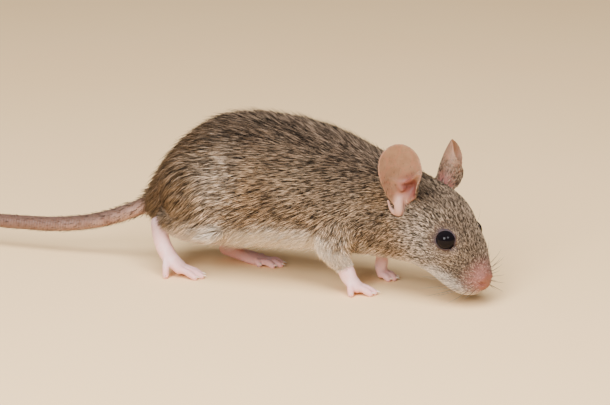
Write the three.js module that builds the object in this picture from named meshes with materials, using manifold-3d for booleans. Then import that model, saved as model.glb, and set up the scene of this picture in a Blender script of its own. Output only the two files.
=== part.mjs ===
// A house mouse, life size, walking with its head lowered to the ground.
// Units are millimetres. +X is forward, +Y is the mouse's left, +Z is up, and the floor is z = 0.
// Every solid reaches out to the tips of the coat. The body is modelled whole and parted by thin
// gaps, so that head, nose, neck, trunk, legs, feet, ears, eyes and tail are pieces of their own.

import * as THREE from 'three';
import { mergeVertices } from 'three/addons/utils/BufferGeometryUtils.js';
import Module from 'manifold-3d';

const wasm = await Module();
wasm.setup();

// ---------------------------------------------------------------- driving dimensions

const GAP = 0.3;                 // clear space between neighbouring pieces
const TAIL_LENGTH = 80;
const TAIL_LENGTHS = 4;          // the tail is divided into this many pieces
const EYE_RADIUS = 2.15;
const EAR_HEIGHT = 14.0;
const EAR_WIDTH = 10.4;          // laid out flat
const EAR_THICKNESS = 0.6;
const EAR_BURIED = 0.17;         // share of an ear's height that is sunk in the head
const HEAD_TURN = 11.5;          // degrees, to the mouse's right
const TURN_START = 18;           // x where the neck begins to turn
const TURN_END = 28;             // x from which the head runs straight
const FLOOR_SINK = 0.12;         // depth of the pads that is flattened by the floor
const MERGE_WITHIN = 1e-4;       // points closer than this are one point

// Sections of the body in side view: the top point (x, z), the bottom point (x, z), half the width
// there, and how far up the widest level lies (0 is the bottom, 1 the top).
const BODY_SECTIONS = [
  { top: [-36.6, 14.4], bottom: [-36.2, 11.2], half: 1.8, widest: 0.5 },
  { top: [-34.2, 19.0], bottom: [-33.0, 7.9], half: 5.6, widest: 0.48 },
  { top: [-30.5, 24.6], bottom: [-28.8, 6.4], half: 9.0, widest: 0.46 },
  { top: [-26.0, 29.2], bottom: [-24.2, 5.9], half: 11.4, widest: 0.44 },
  { top: [-20.0, 33.0], bottom: [-18.5, 5.8], half: 12.8, widest: 0.43 },
  { top: [-11.0, 34.6], bottom: [-10.5, 6.2], half: 13.0, widest: 0.42 },
  { top: [-1.0, 34.2], bottom: [-1.0, 6.5], half: 12.2, widest: 0.43 },
  { top: [8.0, 32.3], bottom: [7.0, 6.8], half: 11.0, widest: 0.44 },
  { top: [15.5, 29.4], bottom: [13.5, 6.9], half: 9.9, widest: 0.45 },
  { top: [21.5, 27.0], bottom: [18.5, 6.9], half: 8.9, widest: 0.46 },
  { top: [27.0, 25.0], bottom: [23.2, 6.6], half: 8.4, widest: 0.48 },
  { top: [32.0, 23.0], bottom: [27.6, 5.9], half: 8.2, widest: 0.5 },
  { top: [35.8, 19.9], bottom: [31.2, 4.6], half: 7.35, widest: 0.51 },
  { top: [38.4, 16.1], bottom: [34.4, 2.5], half: 6.1, widest: 0.5 },
  { top: [40.3, 12.4], bottom: [37.4, 1.5], half: 5.1, widest: 0.48 },
  { top: [41.7, 9.3], bottom: [39.8, 1.9], half: 3.6, widest: 0.46 },
  { top: [42.9, 6.9], bottom: [41.9, 3.2], half: 2.1, widest: 0.46 },
];

const COLOURS = {
  back: 0x6f5c46,
  head: 0x84705a,
  thigh: 0x7d6a52,
  leg: 0xcdb4a8,
  foot: 0xe0c8c6,
  ear: 0xc39a84,
  nose: 0xb8786a,
  tail: 0xa48578,
  eye: 0x0a0808,
};

// ---------------------------------------------------------------- small helpers

const radians = THREE.MathUtils.degToRad;
const vec = (x, y, z) => new THREE.Vector3(x, y, z);

// A smooth value through evenly spaced ones: at runs from 0 to 1 over the whole list.
function through(values, at) {
  const place = at * (values.length - 1);
  const i = Math.min(Math.floor(place), values.length - 2);
  const t = place - i;
  const [b, c] = [values[i], values[i + 1]];
  const a = values[i - 1] ?? 2 * b - c;
  const d = values[i + 2] ?? 2 * c - b;
  return b + 0.5 * t * (c - a + t * (2 * a - 5 * b + 4 * c - d + t * (3 * (b - c) + d - a)));
}

// How far the middle of the neck and head lies to the side of the body's middle plane at x.
function turnAside(x) {
  const slope = -Math.tan(radians(HEAD_TURN));
  const bend = THREE.MathUtils.clamp(x - TURN_START, 0, TURN_END - TURN_START);
  const straight = Math.max(x - TURN_END, 0);
  return slope * ((bend * bend) / (2 * (TURN_END - TURN_START)) + straight);
}

// The angle by which the neck and head point aside at x, in radians.
function turnAngle(x) {
  const bend = THREE.MathUtils.clamp((x - TURN_START) / (TURN_END - TURN_START), 0, 1);
  return -radians(HEAD_TURN) * bend;
}

// A closed body from rings of points, each ring with the same number of points, closed by a point
// at either end. Seen from outside and looking along the rings, the points run anticlockwise.
function closedRings(rings, first, last) {
  const around = rings[0].length;
  const points = [first, ...rings.flat(), last];
  const end = points.length - 1;
  const faces = [];
  for (let i = 0; i < around; i++) {
    const next = (i + 1) % around;
    faces.push(0, 1 + next, 1 + i);
    faces.push(end, end - around + i, end - around + next);
    for (let ring = 0; ring < rings.length - 1; ring++) {
      const low = 1 + ring * around;
      const high = low + around;
      faces.push(low + i, low + next, high + i, low + next, high + next, high + i);
    }
  }
  const geometry = new THREE.BufferGeometry();
  const places = points.flatMap((p) => p.toArray());
  geometry.setAttribute('position', new THREE.Float32BufferAttribute(places, 3));
  geometry.setIndex(faces);
  return geometry;
}

// A three.js geometry as a manifold-3d solid.
function solid(geometry) {
  const bare = geometry.clone();
  bare.deleteAttribute('normal');
  bare.deleteAttribute('uv');
  const merged = mergeVertices(bare, MERGE_WITHIN);
  const index = Array.from(merged.index.array);
  const kept = [];
  for (let i = 0; i < index.length; i += 3) {
    const [a, b, c] = index.slice(i, i + 3);
    if (a !== b && b !== c && c !== a) kept.push(a, b, c);
  }
  return new wasm.Manifold(new wasm.Mesh({
    numProp: 3,
    vertProperties: Float32Array.from(merged.attributes.position.array),
    triVerts: Uint32Array.from(kept),
  }));
}

// A manifold-3d solid as a three.js geometry. Crumbs that a cut leaves behind are dropped.
function geometryOf(body) {
  const pieces = body.decompose();
  const largest = pieces.reduce((a, b) => (a.volume() > b.volume() ? a : b));
  const mesh = largest.getMesh();
  const geometry = new THREE.BufferGeometry();
  geometry.setAttribute('position', new THREE.Float32BufferAttribute(mesh.vertProperties, 3));
  geometry.setIndex(Array.from(mesh.triVerts));
  return geometry;
}

const joined = (bodies) => bodies.reduce((a, b) => a.add(b));
const carved = (body, cutters) => cutters.reduce((a, b) => a.subtract(b), body);

// What is left of a body on the side of a plane that the normal points to, half a gap back.
function beyond(body, point, normal) {
  const unit = normal.clone().normalize();
  return body.trimByPlane(unit.toArray(), unit.dot(point) + GAP / 2);
}

const DIRECTION_STEP = 1e-3;     // share of a limb's length over which its direction is taken
const STEEP = 0.3;               // level part of a direction below which a limb counts as upright

// A limb: an oval tube through stations [x, y, z, side radius, thickness radius], with round ends.
// The side radius is measured level, across the limb. grow makes it fatter and longer all over.
function limb(stations, { around = 10, along = 8, grow = 0 } = {}) {
  const at = (t) => vec(...[0, 1, 2].map((k) => through(stations.map((s) => s[k]), t)));
  const radius = (k, t) => through(stations.map((s) => s[k]), t) + grow;
  const frame = (t) => {
    const after = at(Math.min(t + DIRECTION_STEP, 1));
    const forward = after.sub(at(Math.max(t - DIRECTION_STEP, 0))).normalize();
    const side = vec(-forward.y, forward.x, 0);
    if (side.length() < STEEP) side.set(0, 1, 0);
    side.addScaledVector(forward, -side.dot(forward)).normalize();
    return { forward, side, up: vec(0, 0, 0).crossVectors(forward, side) };
  };
  const ring = (t, push, shrink) => {
    const { forward, side, up } = frame(t);
    const centre = at(t).addScaledVector(forward, push);
    return Array.from({ length: around }, (_, i) => {
      const angle = (2 * Math.PI * i) / around;
      return centre.clone()
        .addScaledVector(side, radius(3, t) * shrink * Math.cos(angle))
        .addScaledVector(up, radius(4, t) * shrink * Math.sin(angle));
    });
  };
  const dome = (t, direction) => {
    const height = Math.min(radius(3, t), radius(4, t)) * direction;
    const middle = ring(t, height * Math.SQRT1_2, Math.SQRT1_2);
    return { middle, tip: at(t).addScaledVector(frame(t).forward, height) };
  };
  const start = dome(0, -1);
  const finish = dome(1, 1);
  const body = Array.from({ length: along + 1 }, (_, i) => ring(i / along, 0, 1));
  return solid(closedRings([start.middle, ...body, finish.middle], start.tip, finish.tip));
}

const LUMP_AROUND = 13;
const LUMP_TALL = 9;

// An egg-shaped lump: a sphere stretched to three half-sizes and tipped nose-down by an angle.
function lump({ centre, halves, tip }, grow = 0) {
  const geometry = new THREE.SphereGeometry(1, LUMP_AROUND, LUMP_TALL);
  geometry.scale(...halves.map((half) => half + grow));
  geometry.rotateY(radians(tip));
  geometry.translate(...centre);
  return solid(geometry);
}

// ---------------------------------------------------------------- places on the head

// A point of the head, given by its distance to the left of the head's middle plane.
function onHead(x, left, z) {
  const angle = turnAngle(x);
  return vec(x - Math.sin(angle) * left, turnAside(x) + Math.cos(angle) * left, z);
}

// ---------------------------------------------------------------- body, from rump to nose

// One section of the body at a place from 0 (rump) to 1 (nose): an egg-shaped ring.
function bodySection(at, around) {
  const value = (pick) => through(BODY_SECTIONS.map(pick), at);
  const top = [value((s) => s.top[0]), value((s) => s.top[1])];
  const bottom = [value((s) => s.bottom[0]), value((s) => s.bottom[1])];
  const half = value((s) => s.half);
  const widest = value((s) => s.widest);
  const x = THREE.MathUtils.lerp(bottom[0], top[0], widest);
  const z = THREE.MathUtils.lerp(bottom[1], top[1], widest);
  return Array.from({ length: around }, (_, i) => {
    const angle = (2 * Math.PI * i) / around;
    const reach = Math.sin(angle);
    const end = reach > 0 ? top : bottom;
    const px = x + (end[0] - x) * Math.abs(reach);
    const pz = z + (end[1] - z) * Math.abs(reach);
    return onHead(px, half * Math.cos(angle), pz);
  });
}

const BODY_AROUND = 24;
const BODY_ALONG = 30;
const RUMP_END = [-0.6, 0, 0];   // how far the rump's and the nose's last points stand out
const NOSE_END = [0.7, 0, -0.2];

function wholeBody() {
  const [around, along] = [BODY_AROUND, BODY_ALONG];
  const rings = Array.from({ length: along + 1 }, (_, i) => bodySection(i / along, around));
  const middle = (ring) => ring.reduce((a, b) => a.add(b), vec(0, 0, 0)).divideScalar(around);
  const rump = middle(bodySection(0, around)).add(vec(...RUMP_END));
  const nose = middle(bodySection(1, around)).add(vec(...NOSE_END));
  return solid(closedRings(rings, rump, nose));
}

// ---------------------------------------------------------------- eyes and ears

const EYE = { x: 35.65, left: 4.7, z: 13.95 };
const EYE_AROUND = 12;
const EYE_TALL = 9;

function eyeBall(side, grow = 0) {
  const geometry = new THREE.SphereGeometry(EYE_RADIUS + grow, EYE_AROUND, EYE_TALL);
  geometry.rotateX(Math.PI / 2);
  geometry.translate(...onHead(EYE.x, side * EYE.left, EYE.z).toArray());
  return solid(geometry);
}

// Where each ear is rooted on the head, and how it stands, in degrees: the way its hollow side
// faces, away from straight ahead; the lean of its tip outwards and its sweep backwards; how far
// each half of it is curled forward at the root and at the tip. nod bends the tip itself forward.
const EARS = {
  right: {
    root: { x: 26.2, left: -7.2, z: 22.2 },
    facing: 50, lean: 12, sweep: 4, curl: [95, 38], nod: 1.2,
  },
  left: {
    root: { x: 26.5, left: 6.4, z: 19.7 },
    facing: 15, lean: 23, sweep: 7.5, curl: [122, 98], nod: 2.9,
  },
};

const EAR_AROUND = 18;
const EAR_TALL = 12;
const EAR_SQUARENESS = 0.45;     // below 1 the rim is cut squarer than an oval
const NOD_FROM = 0.3;            // share of an ear's height above which its tip nods

// Half an ear's width at a share of its height, against the width of the whole ear.
const earProfile = (toTip) => 0.74 + 0.48 * toTip - 0.22 * toTip ** 4;

// An ear is a disc bent into a spoon: narrow and tightly curled at its root, open at its tip.
function ear(name, grow = 0) {
  const { root, facing, lean, sweep, curl, nod } = EARS[name];
  const side = Math.sign(root.left);
  const geometry = new THREE.SphereGeometry(1, EAR_AROUND, EAR_TALL);
  const points = geometry.attributes.position;
  for (let i = 0; i < points.count; i++) {
    const [across, height, face] = [-points.getX(i), points.getY(i), points.getZ(i)];
    const toTip = (height + 1) / 2;
    const halfWidth = (EAR_WIDTH / 2) * earProfile(toTip) + grow;
    const fullCurl = radians(THREE.MathUtils.lerp(curl[0], curl[1], toTip));
    const bend = across * fullCurl;
    const radius = halfWidth / fullCurl;
    const thick = Math.sign(face) * Math.abs(face) ** EAR_SQUARENESS * (EAR_THICKNESS / 2 + grow);
    const nodding = nod * (Math.max(toTip - NOD_FROM, 0) / (1 - NOD_FROM)) ** 2;
    points.setXYZ(
      i,
      (radius - thick) * Math.sin(bend),
      radius - (radius - thick) * Math.cos(bend) + nodding,
      (toTip - EAR_BURIED) * EAR_HEIGHT + height * grow,
    );
  }
  geometry.rotateX(radians(sweep));
  geometry.rotateZ(radians(-90 + side * facing - HEAD_TURN));
  geometry.rotateX(radians(-side * lean));
  geometry.translate(...onHead(root.x, root.left, root.z).toArray());
  return solid(geometry);
}

// ---------------------------------------------------------------- legs

// The toes of each kind of foot, from the inner to the outer one. Each leaves the sole at a share
// of its length back from the ball, and ahead of and outwards from there. It points some degrees
// outwards and has its own length.
const FORE_TOES = [
  { back: 0, ahead: 0.2, out: -1.1, points: -12, length: 2.9 },
  { back: 0, ahead: 0.6, out: -0.3, points: -2, length: 3.5 },
  { back: 0, ahead: 0.4, out: 0.7, points: 7, length: 3.1 },
  { back: 0.36, ahead: -0.4, out: 1.1, points: 62, length: 2.0 },
];
const HIND_TOES = [
  { back: 0.2, ahead: 0, out: -1.3, points: -30, length: 2.6 },
  { back: 0, ahead: 0.2, out: -1.2, points: -8, length: 4.3 },
  { back: 0, ahead: 0.6, out: -0.2, points: 0, length: 4.8 },
  { back: 0, ahead: 0.3, out: 0.9, points: 8, length: 4.4 },
  { back: 0.3, ahead: -0.2, out: 1.3, points: 70, length: 2.2 },
];

// Stations run from the body to the toes: [x, y, z, radius across, radius of thickness].
const LEGS = {
  right: {
    foreleg: [[10.6, -7.0, 14.5, 4.0, 5.2], [10.2, -8.0, 10.4, 3.1, 4.2],
      [11.2, -7.8, 7.6, 2.2, 2.8], [12.3, -7.2, 5.8, 1.7, 1.9]],
    forepaw: { stations: [[12.6, -7.0, 4.8, 1.45, 1.55], [13.5, -6.8, 3.0, 1.6, 1.3],
      [15.0, -6.5, 1.5, 1.65, 0.9]], heading: 11, toes: FORE_TOES, stretch: 1 },
    thigh: { centre: [-21.2, -6.9, 17.0], halves: [8.2, 7.0, 10.2], tip: -24 },
    shank: [[-17.0, -9.6, 10.6, 2.8, 2.6], [-22.5, -10.0, 10.9, 2.6, 2.6],
      [-28.2, -9.8, 11.6, 1.5, 1.8]],
    hindfoot: { stations: [[-29.3, -9.7, 11.0, 1.2, 1.35], [-28.7, -9.7, 7.4, 1.35, 1.2],
      [-27.0, -9.7, 4.1, 1.7, 1.2], [-24.3, -9.6, 1.7, 1.9, 0.9]],
      heading: 0, toes: HIND_TOES, stretch: 1 },
  },
  left: {
    foreleg: [[12.6, 6.6, 14.0, 3.8, 5.0], [12.9, 7.2, 9.8, 2.6, 3.2],
      [14.0, 6.8, 7.0, 1.6, 1.8], [14.6, 6.6, 5.4, 1.25, 1.35]],
    forepaw: { stations: [[14.8, 6.5, 4.6, 1.1, 1.15], [14.6, 6.4, 2.8, 1.25, 1.1],
      [14.9, 6.4, 1.35, 1.45, 0.85]], heading: 4, toes: FORE_TOES, stretch: 0.8 },
    thigh: { centre: [-18.0, 6.9, 16.4], halves: [8.2, 7.0, 10.0], tip: -34 },
    shank: [[-12.6, 9.0, 9.4, 2.8, 2.6], [-17.4, 8.3, 7.4, 2.3, 2.4], [-21.4, 7.6, 4.6, 1.5, 1.7]],
    hindfoot: { stations: [[-22.2, 7.5, 2.5, 1.3, 1.5], [-18.6, 7.1, 1.6, 1.4, 1.2],
      [-15.0, 6.7, 0.95, 1.8, 1.1], [-13.2, 6.5, 0.8, 1.9, 0.9]],
      heading: -6, toes: HIND_TOES, stretch: 1 },
  },
};

// A toe's radius at its root, as a share of that at its middle, and at its tip, the height of its
// knuckle, or that as a share of its root's height, and its claw's radius and length.
const TOE = {
  base: 0.64, middle: 0.86, tip: 0.46, knuckle: 1.1, knuckleShare: 0.75, clawRadius: 0.2, claw: 0.9,
};

// One toe: it leaves the foot, arches over its knuckle, comes down on a pad and ends in a claw.
function toe(from, heading, length) {
  const at = (distance, z, radius) => [
    from.x + distance * Math.cos(heading), from.y + distance * Math.sin(heading), z, radius, radius];
  const pad = TOE.tip - FLOOR_SINK;
  const reach = length - TOE.tip;
  const arch = Math.max(TOE.knuckle, from.z * TOE.knuckleShare);
  return limb([
    at(0, from.z, TOE.base),
    at(reach / 2, arch, TOE.base * TOE.middle),
    at(reach, pad, TOE.tip),
    at(reach + TOE.claw, pad, TOE.clawRadius),
  ], { around: 5, along: 4 });
}

// The sole of a foot, from the wrist or ankle to the ball.
function sole({ stations }, grow = 0) {
  return limb(stations, { around: 9, along: 4, grow });
}

// A foot with its toes, flattened underneath by the floor.
function foot(spec, side) {
  const heading = radians(spec.heading);
  const toes = spec.toes.map(({ back, ahead, out, points, length }) => {
    const [x, y, z] = [0, 1, 2].map((k) => through(spec.stations.map((s) => s[k]), 1 - back));
    const from = vec(
      x + ahead * Math.cos(heading) - side * out * Math.sin(heading),
      y + ahead * Math.sin(heading) + side * out * Math.cos(heading),
      z,
    );
    return toe(from, heading + side * radians(points), length * spec.stretch);
  });
  return joined([sole(spec), ...toes]).trimByPlane([0, 0, 1], 0);
}

// ---------------------------------------------------------------- tail

// The tail's middle line leaves the rump, drops towards the floor and runs out straight behind.
const TAIL_ROUTE = [
  [-34.5, 0, 13.6], [-41.0, -0.5, 10.4], [-48.5, -1.4, 7.7], [-57.5, -2.7, 6.2], [-68.0, -3.8, 5.8],
  [-80.0, -4.6, 5.6], [-96.0, -4.8, 4.6], [-113.5, -3.6, 3.4],
].map((p) => vec(...p));
const TAIL_RADII = [1.75, 1.66, 1.6, 1.52, 1.42, 1.2, 0.9, 0.45];
const TAIL_AROUND = 8;

function tailPieces() {
  const route = new THREE.CatmullRomCurve3(TAIL_ROUTE);
  const steps = 4;
  const scale = TAIL_LENGTH / route.getLength();
  return Array.from({ length: TAIL_LENGTHS }, (_, piece) => {
    const stations = Array.from({ length: steps + 1 }, (_, i) => {
      const t = (piece + i / steps) / TAIL_LENGTHS;
      const p = route.getPointAt(t * Math.min(scale, 1));
      const radius = through(TAIL_RADII, t);
      return [p.x, p.y, p.z, radius, radius];
    });
    return { stations, along: steps };
  });
}

// ---------------------------------------------------------------- the whole mouse

// The flat cuts that part the body: a point of each, and the way that the cut faces.
const CUTS = {
  neckBack: [vec(19.5, 0, 17), vec(0.97, -0.06, -0.2)],
  neckFront: [vec(26.6, -0.8, 14.5), vec(0.92, -0.16, -0.28)],
  nose: [onHead(41.0, 0, 5.5), vec(0.86, -0.17, -0.45)],
};
const SIDES = [['right', -1], ['left', 1]];

function mouse() {
  const nodes = [];
  const add = (name, body, colour, roughness = 0.85) => {
    const material = new THREE.MeshStandardMaterial({ color: colour, roughness, metalness: 0 });
    const mesh = new THREE.Mesh(geometryOf(body), material);
    mesh.name = name;
    nodes.push(mesh);
  };
  const trunkCutters = [];

  for (const [name, side] of SIDES) {
    const { foreleg, forepaw, thigh, shank, hindfoot } = LEGS[name];
    const forelegOf = (grow) => limb(foreleg, { around: 10, along: 5, grow });
    const shankOf = (grow) => limb(shank, { around: 10, along: 4, grow });
    add(`forepaw_${name}`, foot(forepaw, side), COLOURS.foot, 0.6);
    add(`foreleg_${name}`, carved(forelegOf(0), [sole(forepaw, GAP)]), COLOURS.thigh);
    add(`hindfoot_${name}`, foot(hindfoot, side), COLOURS.foot, 0.6);
    add(`shank_${name}`, carved(shankOf(0), [sole(hindfoot, GAP)]), COLOURS.leg);
    add(`thigh_${name}`, carved(beyond(lump(thigh), vec(0, 0, 0), vec(0, side, 0)), [shankOf(GAP)]),
      COLOURS.thigh);
    trunkCutters.push(shankOf(GAP), forelegOf(GAP), lump(thigh, GAP));
  }

  const tail = tailPieces();
  tail.forEach(({ stations, along }, i) => {
    const body = limb(stations, { around: TAIL_AROUND, along });
    const next = tail[i + 1];
    const cutters = next ? [limb(next.stations, { around: TAIL_AROUND, along, grow: GAP })] : [];
    add(`tail_${i + 1}`, carved(body, cutters), COLOURS.tail, 0.65);
  });
  const [tailRoot] = tail;
  trunkCutters.push(limb(tailRoot.stations, { around: TAIL_AROUND, along: tailRoot.along, grow: GAP }));

  const whole = wholeBody();
  const behind = (body, [point, normal]) => beyond(body, point, normal.clone().negate());
  const ahead = (body, [point, normal]) => beyond(body, point, normal);
  const eyesAndEars = SIDES.flatMap(([name, side]) => [eyeBall(side, GAP), ear(name, GAP)]);

  const neckAndOn = ahead(whole, CUTS.neckBack);
  const headAndOn = ahead(whole, CUTS.neckFront);
  add('trunk', carved(behind(whole, CUTS.neckBack), trunkCutters), COLOURS.back);
  add('neck', carved(behind(neckAndOn, CUTS.neckFront), eyesAndEars), COLOURS.back);
  add('head', carved(behind(headAndOn, CUTS.nose), eyesAndEars), COLOURS.head);
  add('nose', ahead(whole, CUTS.nose), COLOURS.nose, 0.5);
  for (const [name, side] of SIDES) {
    add(`eye_${name}`, eyeBall(side), COLOURS.eye, 0.05);
    add(`ear_${name}`, ear(name), COLOURS.ear, 0.6);
  }
  return nodes;
}

// The origin is put on the floor under the middle of the whole model.
const group = new THREE.Group();
group.add(...mouse());
const box = new THREE.Box3().setFromObject(group);
const centre = box.getCenter(vec(0, 0, 0));
group.position.set(-centre.x, -centre.y, 0);

export default group;
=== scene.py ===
"""A house mouse at life size: one skin, its coat, eyes, claws and whiskers.

Shapes are worked out in millimetres in the mouse's own frame: +X forward, +Y to its left, +Z up,
x = 0 at mid trunk and z = 0 on the floor. They become metres in the row's frame as they enter
the scene.
"""

import math

import bpy
import numpy as np
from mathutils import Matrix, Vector
from mathutils.bvhtree import BVHTree
from mathutils.kdtree import KDTree


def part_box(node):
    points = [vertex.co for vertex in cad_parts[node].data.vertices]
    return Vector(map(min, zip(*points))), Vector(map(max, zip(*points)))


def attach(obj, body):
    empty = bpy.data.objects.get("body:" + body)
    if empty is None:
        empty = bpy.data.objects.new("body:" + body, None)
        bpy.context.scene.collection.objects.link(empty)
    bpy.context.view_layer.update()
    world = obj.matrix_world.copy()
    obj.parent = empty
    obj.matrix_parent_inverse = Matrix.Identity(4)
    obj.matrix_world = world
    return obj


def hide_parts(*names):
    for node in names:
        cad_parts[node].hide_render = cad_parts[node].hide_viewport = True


bl_info = {
    "name": "House mouse",
    "version": (1, 0, 0),
    "blender": (4, 5, 0),
    "location": "View3D > Sidebar > Mouse",
    "description": "Makes the skin, coat, eyes, claws and whiskers of a life-size house mouse",
    "category": "Object",
}

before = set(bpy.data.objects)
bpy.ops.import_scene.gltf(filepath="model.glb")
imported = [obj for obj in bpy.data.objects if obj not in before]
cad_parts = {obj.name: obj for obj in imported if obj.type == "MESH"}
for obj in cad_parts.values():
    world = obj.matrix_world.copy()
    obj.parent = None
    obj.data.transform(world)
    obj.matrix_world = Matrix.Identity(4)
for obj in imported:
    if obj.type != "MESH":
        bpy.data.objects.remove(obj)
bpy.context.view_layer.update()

# ---------------------------------------------------------------- the mouse's own measures, in mm

METRE = 1000.0
SIDES = (("right", -1), ("left", 1))
HEAD_TURN = math.radians(11.5)  # to the mouse's right
TURN_START = 18.0  # x where the neck begins to turn
TURN_END = 28.0  # x from which the head runs straight
FLOOR_SINK = 0.12  # how far the floor flattens the pads of the toes

# Sections of the body from rump to nose: top x and z, bottom x and z, half the width, how far up
# the widest level lies, the length of the fur, and the depth of the coat over the skin.
BODY_ROWS = np.array([
    [-36.6, 14.4, -36.2, 11.2, 1.8, 0.5, 3.6, 0.8],
    [-34.2, 19.0, -33.0, 7.9, 5.6, 0.48, 4.4, 1.5],
    [-30.5, 24.6, -28.8, 6.4, 9.0, 0.46, 4.8, 1.8],
    [-26.0, 29.2, -24.2, 5.9, 11.4, 0.44, 4.8, 1.9],
    [-20.0, 33.0, -18.5, 5.8, 12.8, 0.43, 4.6, 1.9],
    [-11.0, 34.6, -10.5, 6.2, 13.0, 0.42, 4.4, 1.9],
    [-1.0, 34.2, -1.0, 6.8, 12.2, 0.43, 3.7, 1.7],
    [8.0, 32.3, 7.0, 7.1, 11.0, 0.44, 3.1, 1.5],
    [15.5, 29.4, 13.5, 7.2, 9.9, 0.45, 2.6, 1.3],
    [21.5, 27.0, 18.5, 7.1, 8.9, 0.46, 2.1, 1.1],
    [27.0, 25.0, 23.2, 6.8, 8.4, 0.48, 1.7, 0.8],
    [32.1, 23.1, 27.6, 6.2, 8.2, 0.5, 1.35, 0.42],
    [36.1, 20.1, 31.2, 4.9, 7.35, 0.51, 1.15, 0.3],
    [38.8, 16.4, 34.4, 2.9, 6.1, 0.5, 1.05, 0.25],
    [40.7, 12.7, 37.4, 1.8, 5.1, 0.48, 0.85, 0.2],
    [42.0, 9.4, 39.8, 2.1, 3.6, 0.46, 0.6, 0.15],
    [42.9, 6.9, 41.9, 3.2, 2.1, 0.46, 0.4, 0.1],
])
BODY_FINE = (150, 96)  # rings along the body and points round each
RUMP_ROUND = (-0.6, 0, 0)  # how far the body's ends stand out past its last rings
NOSE_ROUND = (0.7, 0, -0.2)

EYE = {"x": 35.65, "left": 4.7, "z": 13.95, "radius": 2.15}

EAR = {"height": 14.0, "width": 10.4, "thick": 0.5}
EAR_BURIED = 0.17  # share of an ear's height that lies in the head
EAR_SHARES = (0.78, 0.44, 0.22)  # of its width at the root, gained on the way up, and lost at the tip
# The front margin rolls over the hollow: where across the ear that begins, the heights between which
# it fades out, how much tighter the margin bends, and how far it closes in.
EAR_ROLL = {"from": 0.5, "fades": (0.78, 0.4), "tighter": 0.6, "closer": 0.22}
NOD_FROM = 0.3  # share of the height above which an ear's tip nods inwards
EAR_FINE = (72, 96)  # rings up an ear and points round each
EAR_EDGE = 0.45  # how square an ear's edge is: 1 is round and 0 is square
# Where each ear stands, its turns in degrees, its curl at root and tip, and its nod in millimetres.
EARS = {
    "right": {
        "root": (26.2, -7.2, 22.2), "facing": 50, "lean": 12, "sweep": 4, "curl": (95, 38), "nod": 1.2},
    "left": {
        "root": (26.5, 6.4, 19.7), "facing": 15, "lean": 23, "sweep": 7.5, "curl": (122, 98), "nod": 2.9},
}

# Limbs in stations from the body outwards: x, y, z, radius across, radius of thickness, and for
# the parts with fur also its length and the depth of the coat.
LEGS = {
    "right": {
        "foreleg": [
            [10.6, -7.0, 14.5, 4.0, 5.2, 2.9, 1.5], [10.2, -8.0, 10.4, 3.1, 4.2, 2.5, 1.2],
            [11.2, -7.8, 7.6, 2.2, 2.8, 1.8, 0.7], [12.3, -7.2, 5.8, 1.7, 1.9, 1.1, 0.25]],
        "forepaw": [[12.6, -7.0, 4.8, 1.45, 1.55], [13.5, -6.8, 3.0, 1.6, 1.3], [15.0, -6.5, 1.5, 1.65, 0.9]],
        "paw_heading": 11, "paw_stretch": 1,
        "thigh": {"centre": (-21.2, -6.9, 17.0), "halves": (8.2, 7.0, 10.2), "tip": -24},
        "shank": [
            [-17.0, -9.6, 10.6, 2.8, 2.6, 5.0, 1.6], [-22.5, -10.0, 10.9, 2.6, 2.6, 3.2, 1.0],
            [-28.2, -9.8, 11.6, 1.5, 1.8, 1.2, 0.25]],
        "hindfoot": [
            [-29.3, -9.7, 11.0, 1.45, 1.6], [-28.7, -9.7, 7.4, 1.5, 1.5],
            [-27.0, -9.7, 4.1, 1.75, 1.4], [-24.3, -9.6, 1.7, 1.9, 0.9]],
        "foot_heading": 0,
    },
    "left": {
        "foreleg": [
            [12.6, 6.6, 14.0, 3.8, 5.0, 4.4, 1.6], [12.9, 7.2, 9.8, 2.6, 3.2, 3.2, 1.0],
            [14.0, 6.8, 7.0, 1.6, 1.8, 1.4, 0.3], [14.6, 6.6, 5.4, 1.25, 1.35, 0.9, 0.1]],
        "forepaw": [[14.8, 6.5, 4.6, 1.1, 1.15], [14.6, 6.4, 2.8, 1.25, 1.1], [14.9, 6.4, 1.35, 1.45, 0.85]],
        "paw_heading": 4, "paw_stretch": 0.8,
        "thigh": {"centre": (-18.0, 6.9, 16.4), "halves": (8.2, 7.0, 10.0), "tip": -34},
        "shank": [
            [-12.6, 9.0, 9.4, 2.8, 2.6, 5.0, 1.6], [-17.4, 8.3, 7.4, 2.3, 2.4, 3.2, 1.0],
            [-21.4, 7.6, 4.6, 1.5, 1.7, 1.2, 0.25]],
        "hindfoot": [
            [-22.2, 7.5, 2.5, 1.3, 1.5], [-18.6, 7.1, 1.6, 1.4, 1.2],
            [-15.0, 6.7, 0.95, 1.8, 1.1], [-13.2, 6.5, 0.8, 1.9, 0.9]],
        "foot_heading": -6,
    },
}

# Toes from the inner to the outer one: how far back along the sole it leaves, ahead and outwards
# from there, the degrees it points outwards, and its length.
FORE_TOES = [
    (0, 0.2, -1.1, -12, 2.9), (0, 0.6, -0.3, -2, 3.5), (0, 0.4, 0.7, 7, 3.1), (0.36, -0.4, 1.1, 62, 2.0)]
HIND_TOES = [
    (0.2, 0, -1.3, -30, 2.6), (0, 0.2, -1.2, -8, 4.3), (0, 0.6, -0.2, 0, 4.8), (0, 0.3, 0.9, 8, 4.4),
    (0.3, -0.2, 1.3, 70, 2.2)]
# Radii of a toe at its base and tip, and the least height of its knuckle.
TOE = {"base": 0.84, "tip": 0.64, "knuckle": 1.15}
# Along a toe from its base, as shares: the place of its waist and knuckle, and their thickness.
TOE_WAIST = {"at": 0.36, "thick": 0.78}
TOE_KNUCKLE = {"at": 0.66, "thick": 0.88}
# A claw's length, radius, start ahead of the toe's tip, and height with its arch and its drop.
CLAW = {"length": 1.25, "radius": 0.24, "ahead": 0.05, "height": 0.30, "arch": 0.32, "drop": 0.28}
FOOT_GROW = 0.22  # what smoothing takes off a foot

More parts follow.
